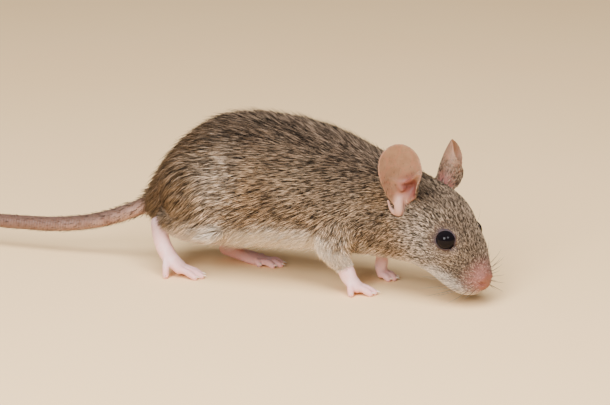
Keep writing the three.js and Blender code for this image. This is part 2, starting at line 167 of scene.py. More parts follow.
TAIL_LENGTH = 80.0
TAIL_ROUTE = [
    [-34.5, 0, 13.6], [-41.0, -0.5, 10.4], [-48.5, -1.4, 7.7], [-57.5, -2.7, 6.2], [-68.0, -3.8, 5.8],
    [-80.0, -4.6, 5.6], [-96.0, -4.8, 4.6], [-113.5, -3.6, 3.4]]
TAIL_RADII = [1.75, 1.66, 1.6, 1.52, 1.42, 1.2, 0.9, 0.45]

# Each part's own rectangle on the flat unwrap of the skin: left, bottom, right, top.
CHARTS = {
    "body": (0.01, 0.40, 0.99, 0.99),
    "tail": (0.01, 0.01, 0.99, 0.07),
    "ear_right": (0.01, 0.24, 0.27, 0.38),
    "ear_left": (0.28, 0.24, 0.54, 0.38),
    "foreleg_right": (0.56, 0.24, 0.76, 0.38),
    "foreleg_left": (0.78, 0.24, 0.99, 0.38),
    "thigh_right": (0.01, 0.08, 0.20, 0.22),
    "thigh_left": (0.21, 0.08, 0.40, 0.22),
    "shank_right": (0.41, 0.08, 0.50, 0.22),
    "shank_left": (0.51, 0.08, 0.60, 0.22),
    "forepaw_right": (0.61, 0.08, 0.70, 0.22),
    "forepaw_left": (0.71, 0.08, 0.80, 0.22),
    "hindfoot_right": (0.81, 0.08, 0.90, 0.22),
    "hindfoot_left": (0.91, 0.08, 0.99, 0.22),
}


# ---------------------------------------------------------------- curves and closed forms

def through(rows, at):
    """A smooth curve through evenly spaced rows; at runs from 0 to 1 over all of them."""
    rows = np.asarray(rows, float)
    before = 2 * rows[:1] - rows[1:2]
    after = 2 * rows[-1:] - rows[-2:-1]
    padded = np.concatenate([before, rows, after])
    place = np.clip(at, 0, 1) * (len(rows) - 1)
    i = np.minimum(place.astype(int), len(rows) - 2)
    t = place - i
    if rows.ndim > 1:
        t = t[..., None]
    a, b, c, d = (padded[i + k] for k in range(4))
    return b + 0.5 * t * (c - a + t * (2 * a - 5 * b + 4 * c - d + t * (3 * (b - c) + d - a)))


def smooth_step(low, high, value):
    """0 below low, 1 above high, and an even S between; low may be the higher one."""
    t = np.clip((value - low) / (high - low), 0, 1)
    return t * t * (3 - 2 * t)


def unit(vectors):
    """The vectors at length one."""
    return vectors / np.maximum(np.linalg.norm(vectors, axis=-1, keepdims=True), 1e-9)


def on_head(x, left, z):
    """Points of the neck and head, given by their distance to the left of its middle plane."""
    x, left, z = np.broadcast_arrays(*(np.asarray(v, float) for v in (x, left, z)))
    bend = np.clip(x - TURN_START, 0, TURN_END - TURN_START)
    straight = np.maximum(x - TURN_END, 0)
    aside = -math.tan(HEAD_TURN) * (bend**2 / (2 * (TURN_END - TURN_START)) + straight)
    angle = -HEAD_TURN * bend / (TURN_END - TURN_START)
    return np.stack([x - np.sin(angle) * left, aside + np.cos(angle) * left, z], -1)


HEAD_AHEAD = np.array([math.cos(HEAD_TURN), -math.sin(HEAD_TURN), 0.0])
HEAD_LEFT = np.array([math.sin(HEAD_TURN), math.cos(HEAD_TURN), 0.0])
UP = np.array([0.0, 0.0, 1.0])


def straightened(points):
    """x, left and z of points as if the neck weren't bent: the reverse of on_head."""
    x = points[:, 0].copy()
    for _ in range(3):
        angle = -HEAD_TURN * np.clip((x - TURN_START) / (TURN_END - TURN_START), 0, 1)
        left = (points[:, 1] - on_head(x, 0, 0)[:, 1]) * np.cos(angle) - (points[:, 0] - x) * np.sin(angle)
        x = points[:, 0] + np.sin(angle) * left
    return np.stack([x, left, points[:, 2]], -1)


class Form:
    """A closed piece of the body in rings of points, made before the pieces become one skin."""

    def __init__(self, name, rings, first, last, fur=None, flow=None):
        count, around = rings.shape[:2]
        self.name = name
        self.points = np.concatenate([[first], rings.reshape(-1, 3), [last]])
        self.faces = self.ring_faces(count, around)
        a, b, c = (self.points[self.faces[:, k]] for k in range(3))
        if np.einsum("ij,ij->", a, np.cross(b, c)) < 0:
            self.faces = self.faces[:, ::-1]
        along = np.linspace(0, 1, count)
        angle = 2 * np.pi * np.arange(around) / around
        self.along = np.concatenate([[0], np.repeat(along, around), [1]])
        turn = np.tile(np.stack([np.cos(angle), np.sin(angle)], -1), (count, 1))
        self.turn = np.concatenate([turn[:1], turn, turn[-1:]])
        if flow is None:
            run = unit(np.gradient(rings, axis=0)).reshape(-1, 3)
            self.flow = np.concatenate([run[:1], run, run[-1:]])
        else:
            self.flow = np.tile(unit(np.asarray(flow, float)), (len(self.points), 1))
        if fur is None:
            fur = [[0.5, 0.0], [0.5, 0.0]]
        self.fur = through(fur, self.along)

    @staticmethod
    def ring_faces(count, around):
        """Triangles between neighbouring rings and from the end rings to the end points."""
        j = np.arange(around)
        k = (j + 1) % around
        low = 1 + np.arange(count - 1)[:, None] * around
        a, b, c, d = low + j, low + k, low + around + k, low + around + j
        sides = np.stack([a, b, c, a, c, d], -1).reshape(-1, 3)
        start = np.stack([0 * j, 1 + k, 1 + j], -1)
        end = 1 + (count - 1) * around
        finish = np.stack([end + around + 0 * j, end + j, end + k], -1)
        return np.concatenate([start, sides, finish])


def body_form():
    """The body from rump to nose."""
    along, around = BODY_FINE
    angle = 2 * np.pi * np.arange(around) / around
    rows = through(BODY_ROWS, np.linspace(0, 1, along))
    top_x, top_z, low_x, low_z, half, widest = (rows[:, k, None] for k in range(6))
    x = low_x + (top_x - low_x) * widest
    z = low_z + (top_z - low_z) * widest
    reach = np.sin(angle)
    end_x = np.where(reach > 0, top_x, low_x)
    end_z = np.where(reach > 0, top_z, low_z)
    rings = on_head(x + (end_x - x) * abs(reach), half * np.cos(angle), z + (end_z - z) * abs(reach))
    rump = rings[0].mean(0) + RUMP_ROUND
    nose = rings[-1].mean(0) + NOSE_ROUND
    form = Form("body", rings, rump, nose, fur=BODY_ROWS[:, 6:8])
    form.flow = -form.flow
    return form


def limb(name, stations, around=24, along=28, grow=0.0, fur=None):
    """An oval tube through stations, with round ends."""
    stations = np.asarray(stations, float)
    t = np.linspace(0, 1, along)
    line = through(stations[:, :3], t)
    radii = through(stations[:, 3:5], t) + grow
    ahead = unit(np.gradient(line, axis=0))
    side = np.stack([-ahead[:, 1], ahead[:, 0], 0 * t], -1)
    side[np.linalg.norm(side, axis=1) < 0.3] = (0, 1, 0)
    side = unit(side - ahead * np.einsum("ij,ij->i", side, ahead)[:, None])
    rise = np.cross(ahead, side)
    angle = 2 * np.pi * np.arange(around) / around

    def ring(i, push, shrink):
        centre = line[i] + ahead[i] * push
        across = side[i] * radii[i, 0] * shrink
        through_it = rise[i] * radii[i, 1] * shrink
        return centre + np.outer(np.cos(angle), across) + np.outer(np.sin(angle), through_it)

    caps = np.radians([67, 45, 22])
    start = [ring(0, -radii[0].min() * math.sin(c), math.cos(c)) for c in caps]
    finish = [ring(-1, radii[-1].min() * math.sin(c), math.cos(c)) for c in caps[::-1]]
    rings = np.array(start + [ring(i, 0, 1) for i in range(along)] + finish)
    first = line[0] - ahead[0] * radii[0].min()
    last = line[-1] + ahead[-1] * radii[-1].min()
    return Form(name, rings, first, last, fur=fur)


POLES = np.array([[0, 0, -1.0], [0, 0, 1.0]])


def sphere_rings(count, around, highest):
    """Rings of a sphere of radius one, the last of them at a height in degrees."""
    height = np.radians(np.linspace(-highest, highest, count))[:, None]
    angle = 2 * np.pi * np.arange(around) / around
    return np.stack([
        np.cos(height) * np.cos(angle), np.cos(height) * np.sin(angle), np.sin(height) + 0 * angle], -1)


def lump(name, centre, halves, tip, fur, flow):
    """An egg-shaped lump tipped nose-down by an angle in degrees."""
    tip = math.radians(tip)

    def placed(points):
        points = points * halves
        x = points[..., 0] * math.cos(tip) + points[..., 2] * math.sin(tip)
        z = -points[..., 0] * math.sin(tip) + points[..., 2] * math.cos(tip)
        return np.stack([x, points[..., 1], z], -1) + centre

    first, last = placed(POLES)
    return Form(name, placed(sphere_rings(25, 32, 84)), first, last, fur=[fur, fur], flow=flow)


def turn_about(points, axis, degrees):
    """Points turned about one of the three axes through the origin."""
    c, s = math.cos(math.radians(degrees)), math.sin(math.radians(degrees))
    a, b = [(1, 2), (2, 0), (0, 1)][axis]
    out = points.copy()
    out[..., a] = c * points[..., a] - s * points[..., b]
    out[..., b] = s * points[..., a] + c * points[..., b]
    return out


def on_ear(name, across, height, face):
    """Points of an ear bent from a disc: across it, up it from -1 to 1, and off its middle sheet."""
    spec = EARS[name]
    side = math.copysign(1, spec["root"][1])
    to_tip = (height + 1) / 2
    at_root, gained, lost = EAR_SHARES
    half = EAR["width"] / 2 * (at_root + gained * to_tip - lost * to_tip**4)
    curl = np.radians(spec["curl"][0] + (spec["curl"][1] - spec["curl"][0]) * to_tip)
    front = np.clip(across * side, 0, 1)
    roll = smooth_step(EAR_ROLL["from"], 1.0, front) * smooth_step(*EAR_ROLL["fades"], to_tip)
    bend = across * curl * (1 + EAR_ROLL["tighter"] * roll)
    closer = EAR_ROLL["closer"] * roll
    radius = half / curl * (1 - closer) - face
    nod = spec["nod"] * (np.maximum(to_tip - NOD_FROM, 0) / (1 - NOD_FROM)) ** 2
    points = np.stack([
        radius * np.sin(bend),
        half / curl - radius * np.cos(bend) - closer * half / curl * np.cos(bend) + nod,
        (to_tip - EAR_BURIED) * EAR["height"] + 0 * bend], -1)
    points = turn_about(points, 0, spec["sweep"])
    points = turn_about(points, 2, -90 + side * spec["facing"] - math.degrees(HEAD_TURN))
    points = turn_about(points, 0, -side * spec["lean"])
    return points + on_head(*spec["root"])


def ear_form(name):
    """An ear: a disc bent into a spoon, narrow and tightly curled at its root, open at its tip."""
    up, around = EAR_FINE
    lift = np.radians(np.linspace(-87, 87, up))[:, None]
    angle = 2 * np.pi * np.arange(around) / around
    across, height, face = np.broadcast_arrays(
        np.cos(lift) * np.cos(angle), np.sin(lift), np.cos(lift) * np.sin(angle))
    thick = np.sign(face) * abs(face) ** EAR_EDGE * EAR["thick"] / 2
    ends = on_ear(name, np.zeros(2), np.array([-1.0, 1.0]), np.zeros(2))
    rings = on_ear(name, across, height, thick)
    return Form(f"ear_{name}", rings, ends[0], ends[1], fur=[[2.0, 0], [1.3, 0], [0.5, 0], [0.4, 0]])


# Folds in the hollow of an ear: share of its half width towards the front margin, share of its
# height, distance off its sheet, and radius.
EAR_FOLDS = [
    [(0.86, 0.56, 0.3, 0.42), (0.62, 0.45, 0.7, 0.46), (0.30, 0.38, 0.6, 0.42), (0.0, 0.40, 0.1, 0.3)],
    [(-0.5, 0.50, 0.0, 0.3), (-0.15, 0.38, 0.25, 0.45), (0.05, 0.28, 0.55, 0.62)],
]
# The lobe at an ear's foot and the hem of skin below it: x, distance from the middle, z, radius.
EAR_FEET = {
    "right": [
        [(26.2, 7.3, 21.6, 0.72), (25.9, 7.6, 20.2, 1.0), (26.05, 7.75, 19.2, 0.95)],
        [(22.9, 7.5, 20.9, 0.34), (23.6, 7.7, 19.6, 0.42), (24.8, 7.85, 18.6, 0.46), (26.4, 7.8, 18.4, 0.4)]],
    "left": [[(26.7, 7.1, 19.4, 0.6), (26.4, 7.5, 18.3, 0.75), (26.5, 7.6, 17.5, 0.6)]],
}
EAR_FUR = {"right": 26.5, "left": 28.6}  # height that the fur on an ear's outer side reaches
EAR_CANAL = {"front": 0.55, "height": 0.30, "size": 1.5, "deep": 1.3}


def ear_at(name, front, height, face=0.0):
    """A place in an ear's hollow, given by shares towards its front margin and of its height."""
    side = math.copysign(1, EARS[name]["root"][1])
    lift = 2 * height - 1
    across = side * front * math.sqrt(max(0.0, 1 - lift * lift))
    return on_ear(name, np.array(across), np.array(lift), np.array(face))


def ear_folds(name, side):
    """The soft ridges inside an ear, its lobe and the hem of skin below it."""
    lines = [[(*ear_at(name, f, h, off), r, r) for f, h, off, r in fold] for fold in EAR_FOLDS]
    for fold in EAR_FEET[name]:
        lines.append([(*on_head(x, side * left, z), r, r) for x, left, z, r in fold])
    for i, line in enumerate(lines):
        yield limb(f"ear_{name}_fold_{i}", line, around=14, along=18, fur=[[0.5, 0], [0.5, 0]])


def toe_stations(stations, toe, heading, side, stretch):
    """The stations of one toe down to its pad, and the direction in which it points."""
    back, ahead, out, points, length = toe
    x, y, z = through(np.asarray(stations)[:, :3], np.array(1.0 - back))
    h = math.radians(heading)
    x = x + ahead * math.cos(h) - side * out * math.sin(h)
    y = y + ahead * math.sin(h) + side * out * math.cos(h)
    way = h + side * math.radians(points)
    reach = length * stretch - TOE["tip"]
    pad = TOE["tip"] - FLOOR_SINK

    def at(distance, z, radius):
        return [x + distance * math.cos(way), y + distance * math.sin(way), z, radius, radius]

    arch = max(TOE["knuckle"], z * 0.75)
    waist = at(reach * TOE_WAIST["at"], 0.5 * (z + arch), TOE["base"] * TOE_WAIST["thick"])
    knuckle = at(reach * TOE_KNUCKLE["at"], 0.86 * arch, TOE["base"] * TOE_KNUCKLE["thick"])
    return [at(0, z, TOE["base"]), waist, knuckle, at(reach, pad, TOE["tip"])], way


def feet():
    """Every foot: its name, stations, toes, heading, side and how far its toes are stretched."""
    for name, side in SIDES:
        leg = LEGS[name]
        yield f"forepaw_{name}", leg["forepaw"], FORE_TOES, leg["paw_heading"], side, leg["paw_stretch"]
        yield f"hindfoot_{name}", leg["hindfoot"], HIND_TOES, leg["foot_heading"], side, 1


def tail_form():
    """The tail, in one tube."""
    fine = through(TAIL_ROUTE, np.linspace(0, 1, 600))
    gone = np.concatenate([[0], np.cumsum(np.linalg.norm(np.diff(fine, axis=0), axis=1))])
    reach = min(TAIL_LENGTH, gone[-1])
    marks = np.linspace(0, reach, 160)
    line = np.stack([np.interp(marks, gone, fine[:, k]) for k in range(3)], -1)
    radii = through(TAIL_RADII, marks / reach)[:, None]
    stations = np.concatenate([line, radii, radii], 1)
    return limb("tail", stations, around=20, along=300, fur=[[1.6, 0], [0.9, 0], [0.8, 0], [0.8, 0]])


def furred_forms():
    """The forms that the coat covers."""
    forms = [body_form()]
    for name, _ in SIDES:
        leg = LEGS[name]
        forms.append(lump(f"thigh_{name}", fur=(4.6, 1.8), flow=(-0.75, 0, -0.66), **leg["thigh"]))
        for part in ("foreleg", "shank"):
            rows = np.asarray(leg[part])
            forms.append(limb(f"{part}_{name}", rows, fur=rows[:, 5:7]))
    return forms


def bare_forms():
    """The forms with bare or nearly bare skin."""
    forms = [tail_form()] + [ear_form(name) for name, _ in SIDES]
    for name, side in SIDES:
        forms += ear_folds(name, side)
    for name, stations, toes, heading, side, stretch in feet():
        forms.append(limb(name, stations, along=20, grow=FOOT_GROW))
        for i, toe in enumerate(toes):
            rows, _ = toe_stations(stations, toe, heading, side, stretch)
            forms.append(limb(f"{name}_toe_{i}", rows, around=16, along=14))
    return forms


def eye_centre(side):
    """The middle of an eye."""
    return on_head(EYE["x"], side * EYE["left"], EYE["z"])


# ---------------------------------------------------------------- surfaces

def mesh_of(name, points, faces):
    """A mesh from points in the mouse's frame, in millimetres, and triangles."""
    mesh = bpy.data.meshes.new(name)
    mesh.vertices.add(len(points))
    mesh.vertices.foreach_set("co", np.ascontiguousarray(points, np.float32).ravel())
    mesh.loops.add(faces.size)
    mesh.loops.foreach_set("vertex_index", np.ascontiguousarray(faces, np.int32).ravel())
    mesh.polygons.add(len(faces))
    mesh.polygons.foreach_set("loop_start", np.arange(0, faces.size, faces.shape[1], dtype=np.int32))
    mesh.update(calc_edges=True)
    return mesh


def arrays_of(mesh):
    """The points and triangles of a mesh."""
    points = np.empty(len(mesh.vertices) * 3, np.float32)
    mesh.vertices.foreach_get("co", points)
    mesh.calc_loop_triangles()
    faces = np.empty(len(mesh.loop_triangles) * 3, np.int32)
    mesh.loop_triangles.foreach_get("vertices", faces)
    return points.reshape(-1, 3).astype(float), faces.reshape(-1, 3)


def changed(points, faces, kind, **settings):
    """A surface after one modifier, given as its type and its settings."""
    work = bpy.data.objects.new("work", mesh_of("work", points, faces))
    bpy.context.scene.collection.objects.link(work)
    modifier = work.modifiers.new("change", kind)
    for key, value in settings.items():
        setattr(modifier, key, value)
    evaluated = work.evaluated_get(bpy.context.evaluated_depsgraph_get())
    made = bpy.data.meshes.new_from_object(evaluated)
    result = arrays_of(made)
    mesh = work.data
    bpy.data.objects.remove(work)
    bpy.data.meshes.remove(mesh)
    bpy.data.meshes.remove(made)
    return result


def joined(surfaces):
    """Several surfaces as one list of points and one of faces."""
    starts = np.cumsum([0] + [len(points) for points, _ in surfaces])
    points = np.concatenate([points for points, _ in surfaces])
    faces = np.concatenate([faces + start for (_, faces), start in zip(surfaces, starts)])
    return points, faces


def fused(surfaces, voxel):
    """One closed surface round several that overlap."""
    points, faces = joined(surfaces)
    return changed(points, faces, "REMESH", mode="VOXEL", voxel_size=voxel)


class Net:
    """The edges of a surface, for averaging values over it."""

    def __init__(self, faces, count):
        pairs = np.sort(np.concatenate([faces[:, [0, 1]], faces[:, [1, 2]], faces[:, [2, 0]]]), axis=1)
        pairs = np.unique(pairs[:, 0].astype(np.int64) * count + pairs[:, 1])
        self.a, self.b, self.count = pairs // count, pairs % count, count
        meeting = np.bincount(self.a, minlength=count) + np.bincount(self.b, minlength=count)
        self.share = 1 / np.maximum(meeting, 1)

    def mean(self, values):
        """Each point's average over its neighbours."""
        columns = values.reshape(self.count, -1)
        out = np.empty_like(columns)
        for k in range(columns.shape[1]):
            there = np.bincount(self.a, columns[self.b, k], self.count)
            out[:, k] = (there + np.bincount(self.b, columns[self.a, k], self.count)) * self.share
        return out.reshape(values.shape)

    def spread(self, values, times, amount=0.5):
        """Values evened out over the surface."""
        for _ in range(times):
            values = values + amount * (self.mean(values) - values)
        return values

    def fair(self, points, times, weights):
        """Points smoothed where weights say so, without shrinking."""
        for _ in range(times):
            for amount in (0.5, -0.53):
                points = points + amount * weights[:, None] * (self.mean(points) - points)
        return points


def normals_of(points, faces):
    """Unit normals at the points."""
    a, b, c = (points[faces[:, k]] for k in range(3))
    across = np.cross(b - a, c - a)
    total = np.stack([
        sum(np.bincount(faces[:, k], across[:, i], len(points)) for k in range(3)) for i in range(3)], -1)
    return unit(total)


class Cover:
    """A surface that answers what lies nearest to a point."""

    def __init__(self, points, faces):
        self.points, self.faces = points, faces
        self.tree = BVHTree.FromPolygons(points.tolist(), faces.tolist())

    def nearest(self, places):
        """For each place the nearest face and the weights of that face's corners."""
        hits = [self.tree.find_nearest(p) for p in places.tolist()]
        at = np.array([tuple(hit[0]) for hit in hits])
        face = np.array([hit[2] for hit in hits])
        a, b, c = (self.points[self.faces[face, k]] for k in range(3))
        u, v, w = b - a, c - a, at - a
        uu, uv, vv = (np.einsum("ij,ij->i", p, q) for p, q in ((u, u), (u, v), (v, v)))
        wu, wv = np.einsum("ij,ij->i", w, u), np.einsum("ij,ij->i", w, v)
        under = np.maximum(uu * vv - uv * uv, 1e-12)
        s = np.clip((vv * wu - uv * wv) / under, 0, 1)
        t = np.clip((uu * wv - uv * wu) / under, 0, 1)
        return at, face, np.stack([np.clip(1 - s - t, 0, 1), s, t], -1)

    def carried(self, values, face, weights):
        """Values at the corners carried to places inside the faces."""
        return np.einsum("nk,nk...->n...", weights, values[self.faces[face]])


def mix(a, b, share):
    """a where share is 0 and b where it is 1."""
    if np.ndim(a) > np.ndim(share):
        share = share[..., None]
    return a + (b - a) * share


# ---------------------------------------------------------------- the skin's shape

SKIN_FACES = 170000  # what is left when the finished skin is thinned out
UNDER_COARSER = 2.2  # how many times coarser the body under its coat is made than the whole skin
# Rounds of smoothing under the coat: the coat's fields, the body, its normals and the skin.
ROUNDS = {"fields": 14, "body": 8, "fair": 6, "normals": 6, "skin": 2}
# Rounds of smoothing on the whole skin: easing its joins, all of it, and round the shaped lids.
WHOLE_ROUNDS = {"joins": 10, "fair": 4, "lids": 2}
EASED_ALL = 0.25  # how strongly the skin is eased away from those joins
# How far the skin is eased round the places where bare parts grow out of furred ones.
JOINS = {"ear": 5.0, "foreleg": 2.6, "shank": 2.8, "tail": 4.0}


def furred_skin(forms, voxel):
    """The body under its coat: one surface with the fields that the coat follows."""
    points, faces = fused([(f.points, f.faces) for f in forms], voxel)
    net = Net(faces, len(points))
    source_points, source_faces = joined([(f.points, f.faces) for f in forms])
    source = Cover(source_points, source_faces)
    _, face, weights = source.nearest(points)
    fields = np.concatenate([np.concatenate([f.fur, f.flow], 1) for f in forms])
    fields = source.carried(fields, face, weights)
    owner = np.repeat(np.arange(len(forms)), [len(f.faces) for f in forms])[face]
    fields = net.spread(fields, ROUNDS["fields"])
    points = net.spread(points, ROUNDS["body"])
    points = net.fair(points, ROUNDS["fair"], np.ones(len(points)))
    normals = net.spread(normals_of(points, faces), ROUNDS["normals"])
    depth = fields[:, 1]
    points = points - unit(normals) * depth[:, None]
    points = net.spread(points, ROUNDS["skin"])
    return points, faces, fields, owner


# The opening of the lids: the way it faces in degrees, its radius in degrees round the eye, the
# lids' thickness, and how deep the skin is tucked into the ball, in millimetres.
LID = {"ahead": 25, "up": 14, "open": 63, "thick": 0.13, "tucked": 0.35}
# In degrees, how far each reaches past that radius, where it lies round the eye, and how wide it is.
LID_ENDS = {"front": (22, -42, 15), "rear": (5, 172, 24), "top": (-3, 80, 50)}


def round_eye(points, side):
    """Directions from an eye's middle, distances, degrees off its axis, and degrees past the lids."""
    ahead, up = math.radians(LID["ahead"]), math.radians(LID["up"])
    level = math.cos(ahead) * side * HEAD_LEFT + math.sin(ahead) * HEAD_AHEAD
    out = math.cos(up) * level + math.sin(up) * UP
    fore = unit(HEAD_AHEAD - out * (HEAD_AHEAD @ out))
    rise = unit(UP - out * (UP @ out) - fore * (UP @ fore))
    away = points - eye_centre(side)
    reach = np.linalg.norm(away, axis=1)
    way = away / np.maximum(reach, 1e-6)[:, None]
    off = np.degrees(np.arccos(np.clip(way @ out, -1, 1)))
    round_it = np.degrees(np.arctan2(way @ rise, way @ fore))

    def end(name, angle):
        amount, place, width = LID_ENDS[name]
        return amount * np.exp(-(((angle - place) / width) ** 2))

    corners = end("front", round_it) + end("rear", abs(round_it))
    edge = LID["open"] + corners + end("top", round_it)
    return way, reach, off, off - edge


def shape_eye(points, side):
    """The lids round one eye: a thin rim that lies on the ball, and a hollow behind it."""
    ball = EYE["radius"]
    close = np.linalg.norm(points - eye_centre(side), axis=1) < 1.6 * ball
    way, here, off, past = round_eye(points[close], side)
    lid = ball + LID["thick"]
    hidden = ball - LID["tucked"]
    # degrees past the lids' edge: over the first few the skin comes out of the ball, and over the
    # next it rises from the rim to its own height; the back of the ball is left alone
    settled = mix(lid, np.maximum(here, lid), smooth_step(8, 30, past))
    wanted = mix(hidden, settled, smooth_step(-4, 2, past))
    facing = smooth_step(125, 100, off)
    points[close] = eye_centre(side) + way * mix(here, wanted, facing)[:, None]
    return points


def shape_ear(points, name):
    """The dark hole at the foot of an ear's hollow."""
    centre = ear_at(name, EAR_CANAL["front"], EAR_CANAL["height"])
    inwards = unit(centre - ear_at(name, EAR_CANAL["front"], EAR_CANAL["height"], 1.0))
    far = np.linalg.norm(points - centre, axis=1) / EAR_CANAL["size"]
    return points + inwards * (EAR_CANAL["deep"] * np.exp(-far * far))[:, None]


# Swellings on each side of the muzzle: x, distance from the middle, z, sizes and height.
MUZZLE_PADS = [
    (39.6, 3.1, 5.0, (2.2, 1.6, 1.6), 0.42), (42.4, 1.5, 6.2, (0.9, 0.8, 0.6), 0.26),
    (42.6, 0.8, 4.2, (0.6, 0.6, 0.5), 0.14)]
# Hollows of one nostril: x, distance from the middle, z, size and depth.
NOSTRIL = [(42.9, 1.25, 4.9, 0.42, 0.75), (42.5, 1.75, 5.1, 0.42, 0.55), (41.9, 2.15, 5.35, 0.34, 0.35)]
# The mouth line from the middle back to its corner: where it starts, how far it runs back, aside
# and down, how far its corner turns up, and its width and depth.
MOUTH = {
    "from": (41.6, 0.35, 3.1), "runs": (3.6, 2.3, 0.1), "turns_up": 0.35,
    "sizes": (0.36, 0.36, 0.3), "deep": 0.17}
# The groove below the nostrils: x and z of its top, how far it runs back and down, width and depth.
GROOVE = {"from": (43.0, 4.6), "runs": (0.8, 1.3), "sizes": (0.4, 0.22, 0.3), "deep": 0.16}


def shape_muzzle(points, faces):
    """Nostrils, the groove between them, the mouth line and the pads of the whiskers."""
    normals = normals_of(points, faces)
    push = np.zeros(len(points))

    def spot(x, left, z, sizes, amount):
        away = points - on_head(x, left, z)
        a, b, c = away @ HEAD_AHEAD / sizes[0], away @ HEAD_LEFT / sizes[1], away[:, 2] / sizes[2]
        return amount * np.exp(-(a * a + b * b + c * c))

    for side in (-1, 1):
        for x, left, z, sizes, height in MUZZLE_PADS:
            push += spot(x, side * left, z, sizes, height)
        for x, left, z, size, deep in NOSTRIL:
            push -= spot(x, side * left, z, (size, size, 0.7 * size), deep)
        x, left, z = MOUTH["from"]
        back, aside, down = MOUTH["runs"]
        for step in np.linspace(0, 1, 9):
            low = z - down * step + MOUTH["turns_up"] * step**2
            place = (x - back * step, side * (left + aside * step), low)
            push -= spot(*place, MOUTH["sizes"], MOUTH["deep"])
    x, z = GROOVE["from"]
    back, down = GROOVE["runs"]
    for step in np.linspace(0, 1, 5):
        push -= spot(x - back * step, 0, z - down * step, GROOVE["sizes"], GROOVE["deep"])
    return points + normals * push[:, None]


def easing(points):
    """How strongly the skin is eased at each point, most of all where bare parts join furred ones."""
    places = [(on_head(*EARS[name]["root"]), JOINS["ear"]) for name, _ in SIDES]
    for part in ("foreleg", "shank"):
        places += [(np.array(LEGS[name][part][-1][:3]), JOINS[part]) for name, _ in SIDES]
    places += [(np.array(TAIL_ROUTE[0]), JOINS["tail"])]
    ease = np.full(len(points), EASED_ALL)
    for centre, size in places:
        far = np.linalg.norm(points - centre, axis=1) / size
        ease = np.maximum(ease, smooth_step(1.2, 0.6, far))
    return ease


def near_eyes(points, none, whole):
    """1 within one distance of an eye's middle and 0 beyond another, in millimetres."""
    near = np.zeros(len(points))
    for _, side in SIDES:
        far = np.linalg.norm(points - eye_centre(side), axis=1)
        near = np.maximum(near, smooth_step(none, whole, far))
    return near


def skin_surface(voxel):
    """The whole skin in the mouse's frame, its fur and flow, the form each point is of, and all forms."""
    furred, bare = furred_forms(), bare_forms()
    under, under_faces, fields, owner = furred_skin(furred, UNDER_COARSER * voxel)
    ball = Form("ball", sphere_rings(25, 32, 84), *POLES)
    balls = [(ball.points * EYE["radius"] + eye_centre(side), ball.faces) for _, side in SIDES]
    surfaces = [(under, under_faces)] + [(f.points, f.faces) for f in bare]
    points, faces = fused(surfaces + balls, voxel)
    net = Net(faces, len(points))
    ease = easing(points)
    for _ in range(WHOLE_ROUNDS["joins"]):
        points = points + 0.5 * ease[:, None] * (net.mean(points) - points)
    points = net.fair(points, WHOLE_ROUNDS["fair"], np.full(len(points), 0.8))
    for name, side in SIDES:
        points = shape_eye(points, side)
        points = shape_ear(points, name)
    points = shape_muzzle(points, faces)
    points = net.fair(points, WHOLE_ROUNDS["lids"], 0.6 * near_eyes(points, 3.6, 3.0))
    points[:, 2] = np.maximum(points[:, 2], 0)

    source = Cover(*joined(surfaces))
    known = np.concatenate([fields] + [np.concatenate([f.fur, f.flow], 1) for f in bare])
    owners = np.concatenate([owner] + [np.full(len(f.points), len(furred) + i) for i, f in enumerate(bare)])
    points, faces = changed(points, faces, "DECIMATE", ratio=SKIN_FACES / len(faces))
    _, face, weights = source.nearest(points)
    fields = source.carried(known, face, weights)
    owner = owners[source.faces[face, np.argmax(weights, axis=1)]]
    return points, faces, fields, owner, furred + bare


# ---------------------------------------------------------------- markings, with painted shade and a painted highlight

# Soft-edged patches on both flanks: x, distance from the middle, z, size and strength.
OCHRE_PATCHES = [
    (-6, 12, 20, 6, 0.5), (3, 11, 15, 5, 0.4), (21.5, 9, 21.5, 3.0, 0.8), (-12, 12, 13, 5, 0.4),
    (27, 8, 13, 4, 0.35), (37, 5, 11, 3, 0.35)]
# the first lighter patch, on the haunch, is a painted highlight where the haunch faces the light
LIGHT_AND_LIT_PATCHES = [
    (-13, 12, 22, 6, 0.45), (11.5, 8.5, 8.5, 5.5, 1.0), (30, 8, 13, 5, 0.4), (-16, 11, 14, 5, 0.3)]
# the last four dark patches, on the rump, are painted shade
DARK_AND_SHADED_PATCHES = [
    (-2, 11, 20, 4, 0.6), (19, 8, 17, 4, 0.45), (38.5, 4.5, 7.5, 2.2, 0.45), (12, 9, 22, 5, 0.4),
    (-28, 10, 22, 7, 1.0), (-27, 10, 27, 6, 0.9), (-35, 4, 15, 5, 1.0), (-33, 7, 20, 5, 1.0)]
# The lower edge of the coat's darker part: x and z.
BELLY_LINE = np.array([
    [-37, 10.2], [-30, 10.0], [-26, 11.0], [-19, 12.0], [-12, 12.8], [-4.4, 13.6], [4, 14.0], [8.7, 12.6],
    [14, 10.0], [19.7, 9.0], [24.3, 8.7], [29.1, 8.3], [33.8, 7.2], [36.2, 6.3], [37.5, 5.8], [39.5, 4.2],
    [41, 3.6], [43, 3.2]])
# The pale back of a foreleg begins behind a slanting line: its upper and lower ends as x and z.
FORELEG_LINE = {"right": ((5.2, 16.6), (13.8, 8.2)), "left": ((7.2, 15.8), (15.4, 7.6))}
# Bare or thinly furred places as egg shapes: the middle and the sizes along the three axes.
NOSE = ((42.9, 0, 4.9), (1.6, 2.2, 2.0))
MUZZLE = ((41.0, 0, 5.8), (4.1, 4.4, 3.9))


def ripple(points, size, seed):
    """Soft random waves from about -1 to 1 over the points, a given size across."""
    rng = np.random.default_rng(seed)
    total = np.zeros(len(points))
    for _ in range(7):
        way = unit(rng.normal(size=3)) * 2 * math.pi / size * rng.uniform(0.6, 1.5)
        total += np.sin(points @ way + rng.uniform(0, 6.3))
    return total / 2.6


